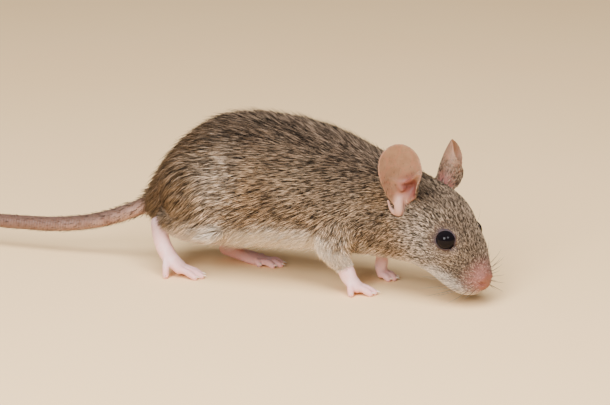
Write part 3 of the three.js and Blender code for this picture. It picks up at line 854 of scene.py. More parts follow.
def patches(places, spots):
    """How strongly soft-edged patches cover the places; the two sides are alike."""
    total = np.zeros(len(places))
    for x, aside, z, size, amount in spots:
        away = places * (1, 0, 1) + np.abs(places) * (0, 1, 0) - (x, aside, z)
        total = np.maximum(total, amount * np.exp(-np.einsum("ij,ij->i", away, away) / size**2))
    return total


def reach_from(places, centre, sizes=1.0):
    """How far places lie from a centre, in sizes along the three axes."""
    return np.linalg.norm((places - centre) / sizes, axis=1)


def dark_and_rump_shade(points, places):
    """The dark back, which fades a little on the face, and painted shade at the rear of the rump, where the
    dark reaches lower.
    """
    x, z = places[:, 0], places[:, 2]
    rows = through(BODY_ROWS, np.linspace(0, 1, 120))
    top = np.interp(x, rows[:, 0], rows[:, 1])
    low = np.interp(x, rows[:, 2], rows[:, 3])
    up = (z - low) / np.maximum(top - low, 1)
    on_face = smooth_step(21, 30, x)
    behind = smooth_step(-21, -28, x)
    dark = smooth_step(0.48, 0.92 + 0.12 * on_face, up + 0.06 * ripple(points, 9, 11))
    # past the dark back, the rear of the rump is painted dark as shade
    return np.maximum(dark * (1 - 0.15 * on_face), 0.95 * behind * smooth_step(0.1, 0.4, up))


def pale_mark(points, places):
    """The pale belly, and the pale backs of the forelegs behind a slanting line."""
    x, z = places[:, 0], places[:, 2]
    line = np.interp(x, BELLY_LINE[:, 0], BELLY_LINE[:, 1])
    pale = smooth_step(2.2, -1.7, z - line + 0.5 * ripple(points, 9, 11))
    for name, side in SIDES:
        (x0, z0), (x1, z1) = FORELEG_LINE[name]
        past = ((x - x0) * (z1 - z0) - (z - z0) * (x1 - x0)) / math.hypot(x1 - x0, z1 - z0)
        near = smooth_step(0, 4, x) * smooth_step(16, 14, x)
        near = near * smooth_step(15, 12, z) * (points[:, 1] * side > 4)
        before = pale * (1 - near * smooth_step(-0.3, 0.9, -past))
        pale = np.maximum(before, near * smooth_step(-0.5, 0.9, past))
    return pale


def eye_marks(points):
    """The dark rims of the eyelids, and the short fur round the eyes."""
    lid = near_eye = np.zeros(len(points))
    for _, side in SIDES:
        _, reach, _, past = round_eye(points, side)
        lid = np.maximum(lid, smooth_step(12, 8, past) * (reach < 1.35 * EYE["radius"]))
        near_eye = np.maximum(near_eye, smooth_step(4.6, 2.6, reach))
    return lid, near_eye


def hollow_shade_and_rosy(points, places, on_ears):
    """Painted shade in the hollows of the ears and nostrils, and the rosy skin at the ears' feet."""
    hollow = rosy = np.zeros(len(points))
    for name, side in SIDES:
        for x, left, z, _ in sum(EAR_FEET[name], []):
            away = reach_from(points, on_head(x, side * left, z))
            rosy = np.maximum(rosy, smooth_step(2.2, 0.9, away) * on_ears)
        away = reach_from(points, ear_at(name, EAR_CANAL["front"], EAR_CANAL["height"]))
        hollow = np.maximum(hollow, smooth_step(4.6, 0.9, away) * on_ears)
        for x, left, z, size, _ in NOSTRIL:
            away = reach_from(places, (x, side * left, z))
            hollow = np.maximum(hollow, smooth_step(1.5 * size, 0.5 * size, away))
    return hollow, rosy


def markings(points, normals, names, owner, depth):
    """Where the coat is dark, pale, ochre or light, and where the skin is bare and of what kind, with painted
    shade on the rump and in the hollows and a painted highlight on the haunch.
    """
    places = straightened(points)
    z = places[:, 2]
    part = np.char.partition(np.array(names)[owner], "_")[:, 0]

    def among(*kinds):
        return np.isin(part, kinds).astype(float)

    tail, ears, feet_alone = among("tail"), among("ear"), among("forepaw", "hindfoot")
    bare_leg = among("foreleg", "shank") * smooth_step(0.75, 0.2, depth)
    lid, near_eye = eye_marks(points)
    hollow, rosy = hollow_shade_and_rosy(points, places, ears)
    gone = np.cumsum(np.linalg.norm(np.diff(TAIL_ROUTE, axis=0), axis=1))
    gone = np.concatenate([[0], gone])
    return {
        # dark takes in painted shade at the rear of the rump
        "dark": np.maximum(dark_and_rump_shade(points, places), tail),
        "pale": pale_mark(points, places) * (1 - np.maximum(tail, ears)),
        "ochre": patches(places, OCHRE_PATCHES),
        # lighter patches less darker ones, with a painted highlight on the haunch and painted shade on the
        # rump
        "light": np.clip(patches(places, LIGHT_AND_LIT_PATCHES) - patches(places, DARK_AND_SHADED_PATCHES), -1, 1),
        "paw_skin": np.maximum(feet_alone, bare_leg),
        "ear_skin": ears,
        "tail_skin": tail,
        "nose_skin": smooth_step(1.35, 0.75, reach_from(places, *NOSE)),
        "muzzle": smooth_step(1.4, 0.6, reach_from(places, *MUZZLE)),
        "lid": lid,
        # painted shade in the ear canals and nostrils
        "near_eye": near_eye,
        "hollow": hollow,
        "rosy": rosy,
        "tail_mm": np.interp(-points[:, 0], -np.array(TAIL_ROUTE)[:, 0], gone),
        "upper": smooth_step(-0.2, 0.95, normals[:, 2]),
        "hock": smooth_step(6.5, 11.0, z) * among("hindfoot", "shank"),
        "toes": smooth_step(3.4, 1.3, z) * feet_alone,
    }


# ---------------------------------------------------------------- materials

# The second tone of each kind of bare skin, mottled into the one that the settings give.
SECOND_TONES = {
    "muzzle": (0.30, 0.14, 0.12, 1),
    "paw": (0.80, 0.46, 0.44, 1),
    "ear": (0.21, 0.11, 0.066, 1),
    "tail": (0.26, 0.14, 0.105, 1),
    "nose": (0.22, 0.075, 0.055, 1),
}
# Tones laid over the bare skin in places.
# painted shade in the creases of the paws
CREASE_SHADE_TONE = (0.66, 0.30, 0.28, 1)
TOE_TONE = (0.80, 0.42, 0.40, 1)
HOCK_TONE = (0.42, 0.27, 0.27, 1)
VEIN_TONE = (0.40, 0.13, 0.09, 1)
TAIL_TOP_TONE = (0.085, 0.05, 0.036, 1)
TAIL_END_TONE = (0.13, 0.065, 0.045, 1)
LOBE_TONE = (0.68, 0.42, 0.36, 1)
# painted shade in the ear canals and nostrils
HOLLOW_SHADE_TONE = (0.18, 0.05, 0.045, 1)
# painted shade in the grooves between the tail's rings
RING_GROOVE_SHADE_TONE = (0.12, 0.07, 0.06, 1)
TAIL_RING = 0.62  # from one ring of the tail to the next, in millimetres
WHITE = (1, 1, 1, 1)
# How bright a tuft is by its own tone, and how bright it is from its root to its tip, where the darker root
# is the hair's dark base and also painted shade deep in the coat.
TUFT_TONES = [(0.0, 0.08), (0.30, 0.16), (0.42, 0.75), (0.60, 1.05), (0.72, 2.1), (1.0, 3.3)]
TUFT_RUN_AND_ROOT_SHADE = [(0.0, 0.35), (0.35, 0.7), (0.62, 1.15), (0.92, 1.15), (1.0, 0.85)]
# Colours from root to tip.
CLAW_RUN = [(0.0, (0.66, 0.40, 0.34, 1)), (0.4, (0.72, 0.56, 0.46, 1)), (1.0, (0.78, 0.68, 0.56, 1))]
WHISKER_RUN = [
    (0.0, (0.07, 0.045, 0.035, 1)), (0.55, (0.09, 0.065, 0.05, 1)), (1.0, (0.22, 0.18, 0.15, 1))]


def new_group(name, inputs, outputs):
    """An empty node group with named sockets."""
    group = bpy.data.node_groups.new(name, "ShaderNodeTree")
    for label, kind, value in inputs:
        socket = group.interface.new_socket(label, in_out="INPUT", socket_type=kind)
        socket.default_value = value
    for label, kind in outputs:
        group.interface.new_socket(label, in_out="OUTPUT", socket_type=kind)
    return group, Nodes(group)


class Nodes:
    """Short ways to add and join shader nodes in one tree."""

    def __init__(self, tree):
        self.tree = tree

    def add(self, kind, inputs=None, **settings):
        """A new node with its settings, and a value or a socket for each input named."""
        node = self.tree.nodes.new(kind)
        for key, value in settings.items():
            setattr(node, key, value)
        for key, value in (inputs or {}).items():
            self.feed(node, key, value)
        return node

    def feed(self, node, key, value):
        """Gives an input a value, or joins it to another node's socket."""
        socket = node.inputs[key]
        if isinstance(value, bpy.types.NodeSocket):
            self.tree.links.new(value, socket)
        else:
            socket.default_value = value

    def field(self, name):
        """A value stored on the mesh."""
        return self.add("ShaderNodeAttribute", attribute_name=name).outputs["Fac"]

    def math(self, operation, a, b=0.0):
        """One reckoning with two values."""
        return self.add("ShaderNodeMath", {0: a, 1: b}, operation=operation).outputs[0]

    def product(self, first, *others):
        """Several values multiplied together."""
        for other in others:
            first = self.math("MULTIPLY", first, other)
        return first

    def blend(self, share, a, b, kind="MIX"):
        """a where share is 0 and b where it is 1, as colours."""
        node = self.add("ShaderNodeMix", data_type="RGBA", blend_type=kind)
        for key, value in ((0, share), (6, a), (7, b)):
            self.feed(node, key, value)
        return node.outputs[2]

    def ramp(self, value, stops):
        """A value turned into grey levels or colours by stops of place and colour."""
        node = self.add("ShaderNodeValToRGB", {"Fac": value})
        band = node.color_ramp
        while len(band.elements) < len(stops):
            band.elements.new(0.5)
        for element, (place, colour) in zip(band.elements, stops):
            element.position = place
            element.color = colour if isinstance(colour, tuple) else (colour, colour, colour, 1)
        return node.outputs["Color"]

    def noise(self, scale, detail=3.0):
        """Noise in the object's own space, at a scale in cycles per metre."""
        place = self.add("ShaderNodeTexCoord").outputs["Object"]
        node = self.add("ShaderNodeTexNoise", {
            "Vector": place, "Scale": scale, "Detail": detail, "Roughness": 0.55})
        return node.outputs["Fac"]

    def cells(self, place, scale):
        """Distances to the walls between random cells, at a scale in cells per metre."""
        node = self.add(
            "ShaderNodeTexVoronoi", {"Vector": place, "Scale": scale}, feature="DISTANCE_TO_EDGE")
        return node.outputs["Distance"]


def hair_colour(name, colours):
    """A group that gives the coat's colour at a place from the markings kept on the mesh, among them painted
    shade on the rump and a painted highlight on the haunch.
    """
    inputs = [(label, "NodeSocketColor", value) for label, value in colours.items()]
    group, n = new_group(name, inputs, [("Colour", "NodeSocketColor")])
    given = n.add("NodeGroupInput").outputs
    colour = n.blend(n.field("dark"), given["Flank"], given["Back"])
    colour = n.blend(n.field("ochre"), colour, given["Ochre"])
    lighter = n.math("MAXIMUM", n.field("light"), 0.0)
    darker = n.product(n.math("MINIMUM", n.field("light"), 0.0), -1.0)
    colour = n.blend(lighter, colour, given["Light"])
    colour = n.blend(darker, colour, given["Back"])
    colour = n.blend(n.product(n.field("muzzle"), 0.55), colour, given["Muzzle"])
    colour = n.blend(n.field("pale"), colour, given["Belly"])
    out = n.add("NodeGroupOutput")
    n.feed(out, "Colour", colour)
    return group


def grain_height(name):
    """A group that gives fine creases and pores of bare skin as heights."""
    inputs = [("Creases", "NodeSocketFloat", 900.0), ("Pores", "NodeSocketFloat", 4200.0)]
    group, n = new_group(name, inputs, [("Height", "NodeSocketFloat")])
    given = n.add("NodeGroupInput").outputs
    place = n.add("ShaderNodeTexCoord").outputs["Object"]
    edges = n.math("SMOOTH_MIN", n.cells(place, given["Creases"]), 0.25)
    pores = n.add("ShaderNodeTexNoise", {"Vector": place, "Scale": given["Pores"], "Detail": 2.0})
    out = n.add("NodeGroupOutput")
    n.feed(out, "Height", n.math("ADD", n.product(edges, 1.6), n.product(pores.outputs["Fac"], 0.5)))
    return group


def material(name, roughness=0.6, specular=0.4):
    """A new material, its shorthand and its shader."""
    made = bpy.data.materials.new(name)
    made.use_nodes = True
    n = Nodes(made.node_tree)
    shader = made.node_tree.nodes["Principled BSDF"]
    shader.inputs["Roughness"].default_value = roughness
    shader.inputs["Specular IOR Level"].default_value = specular
    return made, n, shader


def group_node(n, group):
    """A node group placed in a material."""
    return n.add("ShaderNodeGroup", node_tree=group)


def colour_of(settings, name):
    """A colour of the settings with full strength."""
    return (*getattr(settings, name), 1.0)


def coat_colours(coat):
    """The coat's colours as the inputs of its colour group."""
    names = ("back", "flank", "belly", "ochre", "light", "muzzle")
    return {name.capitalize(): colour_of(coat, name) for name in names}


def coat_group(coat):
    """The coat's colour group, built once."""
    return bpy.data.node_groups.get("Coat colour") or hair_colour("Coat colour", coat_colours(coat))


def skin_material(coat, skin):
    """Skin: where fur grows, the coat's colours darkened, for the hair's dark roots and as painted shade
    among the hair, and pink where it is bare.
    """
    made, n, shader = material("skin", 0.5, 0.35)
    under = group_node(n, coat_group(coat)).outputs["Colour"]
    # painted shade: where fur grows the skin takes the coat's colours darkened, as if in shade among the hair
    colour = n.blend(1.0, under, (0.42, 0.36, 0.34, 1), "MULTIPLY")
    mottle = n.ramp(n.noise(420, 4), [(0.35, 0.0), (0.7, 1.0)])

    def bare(colour, mask, tone):
        own = n.blend(mottle, colour_of(skin, tone), SECOND_TONES[tone])
        return n.blend(mask, colour, own)

    paws, ears, tail = n.field("paw_skin"), n.field("ear_skin"), n.field("tail_skin")
    colour = bare(colour, n.product(n.field("muzzle"), 0.85), "muzzle")
    colour = bare(colour, paws, "paw")
    # painted shade: where the paws' skin folds in, between and under the toes, it is darkened
    fold = n.ramp(n.add("ShaderNodeNewGeometry").outputs["Pointiness"], [(0.42, 1.0), (0.5, 0.0)])
    colour = n.blend(n.product(fold, paws, 0.8), colour, CREASE_SHADE_TONE)
    colour = n.blend(n.product(n.field("toes"), 0.7), colour, TOE_TONE)
    colour = n.blend(n.product(n.field("hock"), paws, 0.8), colour, HOCK_TONE)
    colour = bare(colour, ears, "ear")
    walls = n.cells(n.add("ShaderNodeTexCoord").outputs["Object"], 330.0)
    vein = n.product(n.ramp(walls, [(0.0, 1.0), (0.07, 0.0)]), 0.22)
    colour = n.blend(n.product(vein, ears), colour, VEIN_TONE)
    colour = bare(colour, tail, "tail")
    colour = n.blend(n.product(n.field("upper"), tail, 0.9), colour, TAIL_TOP_TONE)
    to_end = n.ramp(n.product(n.field("tail_mm"), 0.02), [(0.1, 0.0), (0.6, 1.0)])
    colour = n.blend(n.product(to_end, tail, 0.7), colour, TAIL_END_TONE)
    colour = bare(colour, n.field("nose_skin"), "nose")
    colour = n.blend(n.product(n.field("rosy"), 0.45), colour, LOBE_TONE)
    # painted shade darkens the ear canals and nostrils
    colour = n.blend(n.product(n.field("hollow"), 0.85), colour, HOLLOW_SHADE_TONE)
    colour = n.blend(n.field("lid"), colour, colour_of(skin, "lid"))
    colour = n.blend(n.product(n.noise(2600), 0.25), colour, (0.9, 0.75, 0.7, 1), "MULTIPLY")

    rings = n.math("SINE", n.product(n.field("tail_mm"), 2 * math.pi / TAIL_RING))
    rings = n.product(rings, tail)
    # painted shade: the skin is darkened in the grooves between the rings
    groove = n.product(n.math("MAXIMUM", n.product(rings, -1.0), 0.0), 0.3)
    colour = n.blend(groove, colour, RING_GROOVE_SHADE_TONE)
    grain = group_node(n, bpy.data.node_groups.get("Skin grain") or grain_height("Skin grain"))
    height = n.math("ADD", grain.outputs["Height"], n.product(rings, 1.1))
    bump = n.add("ShaderNodeBump", {"Height": height, "Strength": 0.45, "Distance": 0.00006})
    n.feed(shader, "Base Color", colour)
    n.feed(shader, "Normal", bump.outputs["Normal"])
    shader.inputs["Subsurface Weight"].default_value = 0.25
    shader.inputs["Subsurface Radius"].default_value = (1.0, 0.45, 0.3)
    shader.inputs["Subsurface Scale"].default_value = 0.0009
    return made


def coat_material(coat):
    """Hair: dark at its root, for its dark base and as painted shade deep in the coat, banded above, with
    every tuft a little different.
    """
    made, n, shader = material("coat", 0.5, 0.3)
    colour = group_node(n, coat_group(coat)).outputs["Colour"]
    pale = n.field("pale")
    tone = n.blend(n.product(pale, 0.8), n.ramp(n.field("tone"), TUFT_TONES), WHITE)
    # darker towards the root: the hair's dark base and painted shade deep in the coat
    run = n.blend(n.product(pale, 0.5), n.ramp(n.field("along"), TUFT_RUN_AND_ROOT_SHADE), WHITE)
    colour = n.blend(1.0, colour, tone, "MULTIPLY")
    colour = n.blend(1.0, colour, run, "MULTIPLY")
    n.feed(shader, "Base Color", colour)
    return made


def eye_material():
    """A wet black eye, a touch lighter where it turns away from the view, as a painted sheen."""
    made, n, shader = material("eye", 0.04, 0.1)
    # painted sheen: the ball's colour lightens slightly towards its rim as seen from the view
    edge = n.add("ShaderNodeLayerWeight", {"Blend": 0.35}).outputs["Facing"]
    colour = n.blend(edge, (0.004, 0.003, 0.004, 1), (0.010, 0.008, 0.011, 1))
    n.feed(shader, "Base Color", colour)
    return made


def horn_material():
    """Thin pale horn of the claws, pinker towards the toe."""
    made, n, shader = material("claw", 0.35, 0.5)
    colour = n.ramp(n.field("along"), CLAW_RUN)
    streak = n.product(n.noise(5200, 2), 0.3)
    n.feed(shader, "Base Color", n.blend(streak, colour, (0.8, 0.7, 0.62, 1), "MULTIPLY"))
    return made


def whisker_material():
    """Whiskers, dark at the root and pale at the tip."""
    made, n, shader = material("whisker", 0.4, 0.4)
    n.feed(shader, "Base Color", n.ramp(n.field("along"), WHISKER_RUN))
    return made


# ---------------------------------------------------------------- putting pieces in the scene

def row_frame(points):
    """Points of the mouse's frame in the row's frame, in metres."""
    eyes = [sum(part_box(f"eye_{name}"), Vector()) / 2 for name, _ in SIDES]
    middle = np.array(sum(eyes, Vector()) / 2)
    own = sum(eye_centre(side) for _, side in SIDES) / 2
    return points / METRE + (middle - own / METRE)


def placed(name, points, faces, finish, slot, replaced=(), fields=None):
    """A piece in the scene, riding on the body, with values kept at its points."""
    mesh = mesh_of(name, row_frame(points), faces)
    mesh.polygons.foreach_set("use_smooth", np.ones(len(mesh.polygons), bool))
    for key, values in (fields or {}).items():
        kept = mesh.attributes.new(key, "FLOAT", "POINT")
        kept.data.foreach_set("value", np.ascontiguousarray(values, np.float32))
    mesh.materials.append(finish)
    piece = bpy.data.objects.new(name, mesh)
    bpy.context.scene.collection.objects.link(piece)
    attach(piece, "root")
    if replaced:
        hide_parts(*replaced)
    return piece


# What one operator makes and a later one needs: the skin's surface and fields in millimetres.
SKIN = {}


# ---------------------------------------------------------------- coat

TOE_ROWS = 5  # rows for the toes in a foot's rectangle of the unwrap
SOLE_SHARE = 0.55  # share of that rectangle's length that the rest of the foot takes


def chart_places(points, owner, forms):
    """Where each point lies on the flat unwrap of the skin."""
    flat = np.zeros((len(points), 2))
    for i, form in enumerate(forms):
        mine = owner == i
        if not mine.any():
            continue
        cover = Cover(form.points, form.faces)
        _, face, weights = cover.nearest(points[mine])
        along = cover.carried(form.along, face, weights)
        turn = cover.carried(form.turn, face, weights)
        round_it = (np.arctan2(turn[:, 1], turn[:, 0]) / (2 * math.pi) + 0.25) % 1
        base, _, toe = form.name.partition("_fold_")[0].partition("_toe_")
        left, low, right, high = CHARTS[base]
        if base.startswith(("forepaw", "hindfoot")):
            middle = left + SOLE_SHARE * (right - left)
            if toe:
                tall = high - low
                low, high = (low + row * tall / TOE_ROWS for row in (int(toe), int(toe) + 1))
                left = middle
            else:
                right = middle
        flat[mine] = np.stack([left + along * (right - left), low + round_it * (high - low)], -1)
    return flat


# A tuft has three points round its root, three round its middle and one at its tip.
TUFT_POINTS = 7
TUFT_ALONG = [0, 0, 0, 0.5, 0.5, 0.5, 1]
TUFT_FACES = np.array([
    [0, 1, 4], [0, 4, 3], [3, 4, 6], [1, 2, 5], [1, 5, 4], [4, 5, 6], [2, 0, 3], [2, 3, 5], [5, 3, 6],
    [0, 2, 1]])
# Where the corners of those faces lie on the tuft's patch: its three sides, then its root's end.
TUFT_SIDES = np.array([
    [[0, k / 3], [0, (k + 1) / 3], [0.5, (k + 1) / 3], [0, k / 3], [0.5, (k + 1) / 3], [0.5, k / 3],
     [0.5, k / 3], [0.5, (k + 1) / 3], [1, (k + 0.5) / 3]] for k in range(3)]).reshape(-1, 2)
TUFT_PATCH = np.concatenate([TUFT_SIDES, [[-0.2, 0.1], [-0.2, 0.9], [-0.05, 0.5]]])
PATCH_SIZE = 0.003

# Length of the fur against tufts for each square millimetre, and what barely furred parts have.
DENSITIES = ([0.5, 1.0, 2.0, 4.0, 7.0], [44, 56, 42, 24, 20])
THIN_DENSITIES = {"ear": 1.2, "tail": 2, "forepaw": 6, "hindfoot": 6}
EAR_BACK_DENSITY = 30
# How far the fur hangs down along the body: x, and the share of its lie that points down.
DROOP = ([-36, -30, -20, 0, 10, 18, 26, 34, 42], [0.55, 0.5, 0.25, 0.2, 0.45, 0.6, 0.45, 0.1, 0.0])
# Length of a tuft against its width, and against its chance to lead a lock.
WIDTHS = ([0.4, 1.0, 2.5, 6.0], [0.026, 0.044, 0.058, 0.07])
LEADERS = ([1.0, 2.2, 4.5], [0.8, 0.7, 0.52])
# Tufts that stand out of the coat: their share, how much longer, higher and thinner they are.
STRAYS = {"share": 0.07, "longer": (1.0, 1.35), "higher": (1.25, 1.8), "thinner": 0.6}
ROOT_DEPTH = 0.06  # how far a tuft's root stands in the skin
COAT_MARKS = ("dark", "pale", "ochre", "light", "muzzle")


def tuft_mesh(root, middle, tip, outward, width):
    """Points of closed, pointed tufts along bent paths, each as its own seven points."""
    first, second = middle - root, tip - middle
    side = unit(np.cross(outward, first + second))
    points = []
    for centre, way, share in ((root, first, 0.75), (middle, first + second, 1.0)):
        rise = unit(np.cross(way, side))
        for k in range(3):
            angle = math.radians(90 + 120 * k)
            corner = math.cos(angle) * side + math.sin(angle) * rise
            points.append(centre + (width * share)[:, None] * corner)
    points.append(tip)
    return np.stack(points, 1)


def fur_density(points, normals, fields, part, marks):
    """Tufts for each square millimetre of skin."""
    density = np.interp(fields[:, 0], *DENSITIES)
    for kind, amount in THIN_DENSITIES.items():
        density = np.where(part == kind, amount, density)
    for name, side in SIDES:
        # the outer side of an ear is furred low down
        up = unit(ear_at(name, 0, 0.8) - ear_at(name, 0, 0.2))
        away = points - ear_at(name, 0, 0.3, 2.1)
        away = unit(away - up * (away @ up)[:, None])
        facing = np.einsum("ij,ij->i", normals, away)
        outer = smooth_step(0.0, 0.4, facing) * (points[:, 1] * side > 0)
        low = smooth_step(EAR_FUR[name], EAR_FUR[name] - 3.0, points[:, 2])
        furred = np.maximum(density, EAR_BACK_DENSITY * low * outer)
        density = np.where(part == "ear", furred, density)
    density = density * (1 - 0.93 * marks["nose_skin"]) * (1 - 0.45 * marks["muzzle"])
    density = density * (1 - 0.9 * marks["rosy"]) * (1 - 0.9 * marks["hollow"])
    return density * (1 - 0.97 * smooth_step(0.2, 0.7, marks["lid"]))


def lie_of_coat(points, normals, fields):
    """The direction in which the coat lies, along the skin."""
    places = straightened(points)
    flow = fields[:, 2:5].copy()
    x, z = places[:, 0], places[:, 2]
    furred = smooth_step(0.2, 0.8, fields[:, 1])
    flow[:, 2] -= furred * np.interp(x, *DROOP) * smooth_step(34, 26, z)
    for _, side in SIDES:
        # it parts round the eyes
        away = points - eye_centre(side)
        reach = np.linalg.norm(away, axis=1)
        flow += unit(away) * (1.1 * smooth_step(3.8, 2.3, reach))[:, None]
    flow = flow - normals * np.einsum("ij,ij->i", flow, normals)[:, None]
    return unit(flow)


def sown(settings, rng):
    """Where the tufts stand: the face under each one and the weights of that face's corners."""
    points, faces = SKIN["points"], SKIN["faces"]
    a, b, c = (points[faces[:, k]] for k in range(3))
    area = np.linalg.norm(np.cross(b - a, c - a), axis=1) / 2
    part = np.char.partition(np.array(SKIN["names"])[SKIN["owner"]], "_")[:, 0]
    density = fur_density(points, SKIN["normals"], SKIN["fields"], part, SKIN["marks"])
    load = np.cumsum(area * density[faces].mean(1))
    count = int(min(load[-1] * settings.fullness, settings.most_tufts))
    at = (np.arange(count) + rng.random(count)) * load[-1] / count
    face = np.minimum(np.searchsorted(load, at), len(faces) - 1)
    s, t = np.sqrt(rng.random(count)), rng.random(count)
    return face, np.stack([1 - s, s * (1 - t), s * t], -1)


def tuft_sizes(rng, fur, marks):
    """The length of every tuft, how high it stands over the skin, and which ones are strays."""
    count = len(fur)
    length = fur[:, 0] * rng.uniform(0.7, 1.15, count) * (1 - 0.55 * marks["near_eye"])
    length = length * (0.74 + 0.26 * marks["dark"])
    stray = (rng.random(count) < STRAYS["share"]) & (fur[:, 1] > 0.5)
    length = np.where(stray, length * rng.uniform(*STRAYS["longer"], count), length)
    least = (0.32 - 0.22 * marks["ear_skin"]) * fur[:, 0] * smooth_step(0.5, 0.9, fur[:, 0])
    depth = np.maximum(fur[:, 1], least)
    return length, depth * (1 - 0.5 * marks["near_eye"]), stray


def tuft_paths(rng, root, outward, lie, length, depth, stray):
    """The middle and tip of every tuft, which follow the lie and keep their height over the skin."""
    cover, normals, count = SKIN["cover"], SKIN["normals"], len(root)
    swirl = 0.14 * ripple(root, 5, 3) + 0.10 * ripple(root, 1.6, 4) + rng.normal(0, 0.12, count)
    lie = unit(lie + np.cross(outward, lie) * swirl[:, None])
    place, face, weights = cover.nearest(root + lie * (0.5 * length)[:, None])
    onward = unit(0.55 * lie + 0.45 * cover.carried(SKIN["lie"], face, weights))
    out = unit(cover.carried(normals, face, weights))
    rise = rng.uniform(0.7, 1.3, count)
    rise = np.where(stray, rng.uniform(*STRAYS["higher"], count), rise)
    middle = place + out * (depth * 0.66 * rise)[:, None]
    place, face, weights = cover.nearest(place + onward * (0.5 * length)[:, None])
    out = unit(cover.carried(normals, face, weights))
    return middle, place + out * (depth * rise)[:, None]


def in_locks(rng, root, middle, tip, length, stray):
    """The tufts leaning towards the leaders of small locks, and each one's leader."""
    count = len(root)
    leaders = np.flatnonzero(rng.random(count) < np.interp(length, *LEADERS))
    rng.shuffle(leaders)
    tree = KDTree(len(leaders))
    for i, place in zip(leaders.tolist(), root[leaders].tolist()):
        tree.insert(place, i)
    tree.balance()
    leader = np.array([tree.find(place)[1] for place in root.tolist()])
    near = smooth_step(1.4, 0.6, np.linalg.norm(root - root[leader], axis=1))
    pull = rng.uniform(0.05, 0.4, count) * near * smooth_step(0.9, 2.0, length) * ~stray
    tip = tip + (tip[leader] - tip) * pull[:, None]
    middle = middle + (middle[leader] - middle) * (0.4 * pull)[:, None]
    return middle, tip, leader


def grow_tufts(settings):
    """Paths, widths and fields of every tuft of the coat."""
    rng = np.random.default_rng(settings.seed)
    face, weights = sown(settings, rng)
    cover, count = SKIN["cover"], len(face)
    root = cover.carried(SKIN["points"], face, weights)
    outward = unit(cover.carried(SKIN["normals"], face, weights))
    fur = cover.carried(SKIN["fields"], face, weights)
    marks = {key: cover.carried(values, face, weights) for key, values in SKIN["marks"].items()}
    lie = cover.carried(SKIN["lie"], face, weights)
    length, depth, stray = tuft_sizes(rng, fur, marks)
    middle, tip = tuft_paths(rng, root, outward, lie, length, depth, stray)
    middle, tip, leader = in_locks(rng, root, middle, tip, length, stray)
    width = np.interp(length, *WIDTHS) * rng.uniform(0.75, 1.25, count)
    width = np.where(stray, STRAYS["thinner"] * width, width)
    root = root - outward * ROOT_DEPTH
    # no tuft reaches into the floor
    tip[:, 2] = np.maximum(tip[:, 2], 0.02)
    middle[:, 2] = np.maximum(middle[:, 2], 0.1)
    # the tufts of a lock share its tone
    tone = rng.random(count)
    tone = np.clip(tone[leader] + rng.normal(0, 0.08, count), 0, 1)
    return {
        "root": root, "middle": middle, "tip": tip, "outward": outward, "width": width,
        "owner": SKIN["owner"][SKIN["faces"][face, 0]], "marks": marks, "tone": tone}


def coat_pieces(tufts, finish, settings):
    """The tufts as solid pieces that each span the whole animal."""
    flat = chart_places(tufts["root"], tufts["owner"], SKIN["forms"])
    count = len(flat)
    layers = math.ceil(count * len(TUFT_FACES) / settings.most_faces)
    for layer in range(layers):
        mine = np.arange(layer, count, layers)
        path = (tufts[key][mine] for key in ("root", "middle", "tip", "outward", "width"))
        points = tuft_mesh(*path).reshape(-1, 3)
        starts = TUFT_POINTS * np.arange(len(mine))[:, None, None]
        faces = (TUFT_FACES[None] + starts).reshape(-1, 3)
        fields = {key: np.repeat(tufts["marks"][key][mine], TUFT_POINTS) for key in COAT_MARKS}
        fields["tone"] = np.repeat(tufts["tone"][mine], TUFT_POINTS)
        fields["along"] = np.tile(TUFT_ALONG, len(mine))
        piece = placed(f"coat_layer_{layer + 1}", points, faces, finish, "coat", fields=fields)
        patch = flat[mine][:, None, :] + PATCH_SIZE * (TUFT_PATCH - 0.5)[None]
        bake_map = piece.data.uv_layers.new(name="OFBake")
        bake_map.data.foreach_set("uv", np.ascontiguousarray(patch, np.float32).ravel())


# ---------------------------------------------------------------- claws and whiskers

def taper(path, radii, around=6):
    """A closed tube along a path that narrows to its last point, and how far along each point is."""
    path, radii = np.asarray(path, float), np.asarray(radii, float)
    ahead = unit(np.gradient(path, axis=0))
    side = unit(np.cross(ahead, UP + (0.01, 0, 0)))
    rise = np.cross(side, ahead)
    angle = 2 * np.pi * np.arange(around) / around
    rings = path[:-1, None] + radii[:-1, None, None] * (
        np.cos(angle)[:, None] * side[:-1, None] + np.sin(angle)[:, None] * rise[:-1, None])
    points = np.concatenate([[path[0]], rings.reshape(-1, 3), [path[-1]]])
    faces = Form.ring_faces(len(path) - 1, around)
    a, b, c = (points[faces[:, k]] for k in range(3))
    if np.einsum("ij,ij->", a - path[0], np.cross(b - path[0], c - path[0])) < 0:
        faces = faces[:, ::-1]
    along = np.concatenate([[0], np.repeat(np.linspace(0, 1, len(path))[:-1], around), [1]])
    return points, faces, along


def claw_tapers():
    """A small curved claw for every toe."""
    for _, stations, toes, heading, side, stretch in feet():
        for toe in toes:
            rows, way = toe_stations(stations, toe, heading, side, stretch)
            tip = np.array(rows[-1][:3])
            ahead = np.array([math.cos(way), math.sin(way), 0])
            t = np.linspace(0, 1, 9)
            rise = CLAW["height"] + CLAW["arch"] * np.sin(math.pi * 0.8 * t) - CLAW["drop"] * t
            run = ahead * (CLAW["ahead"] + t * CLAW["length"])[:, None]
            path = tip + run + UP * (rise - TOE["tip"] * 0.3)[:, None]
            path[:, 2] = np.maximum(path[:, 2], 0.05)
            yield taper(path, CLAW["radius"] * (1 - t**1.6) + 0.01, around=8)


# The whiskers of one side: rows and how many in each, the front one's root as x, distance from the
# middle and z, what a step back and a row down change in that, lengths from the front backwards,
# and the thickness at the root.
WHISKERS = {
    "rows": 5, "steps": 4, "root": (41.3, 2.5, 7.4), "step": (0.95, 0.3, 0.1), "row": 0.85,
    "length": 4.4, "longer": 1.2, "thick": 0.062}
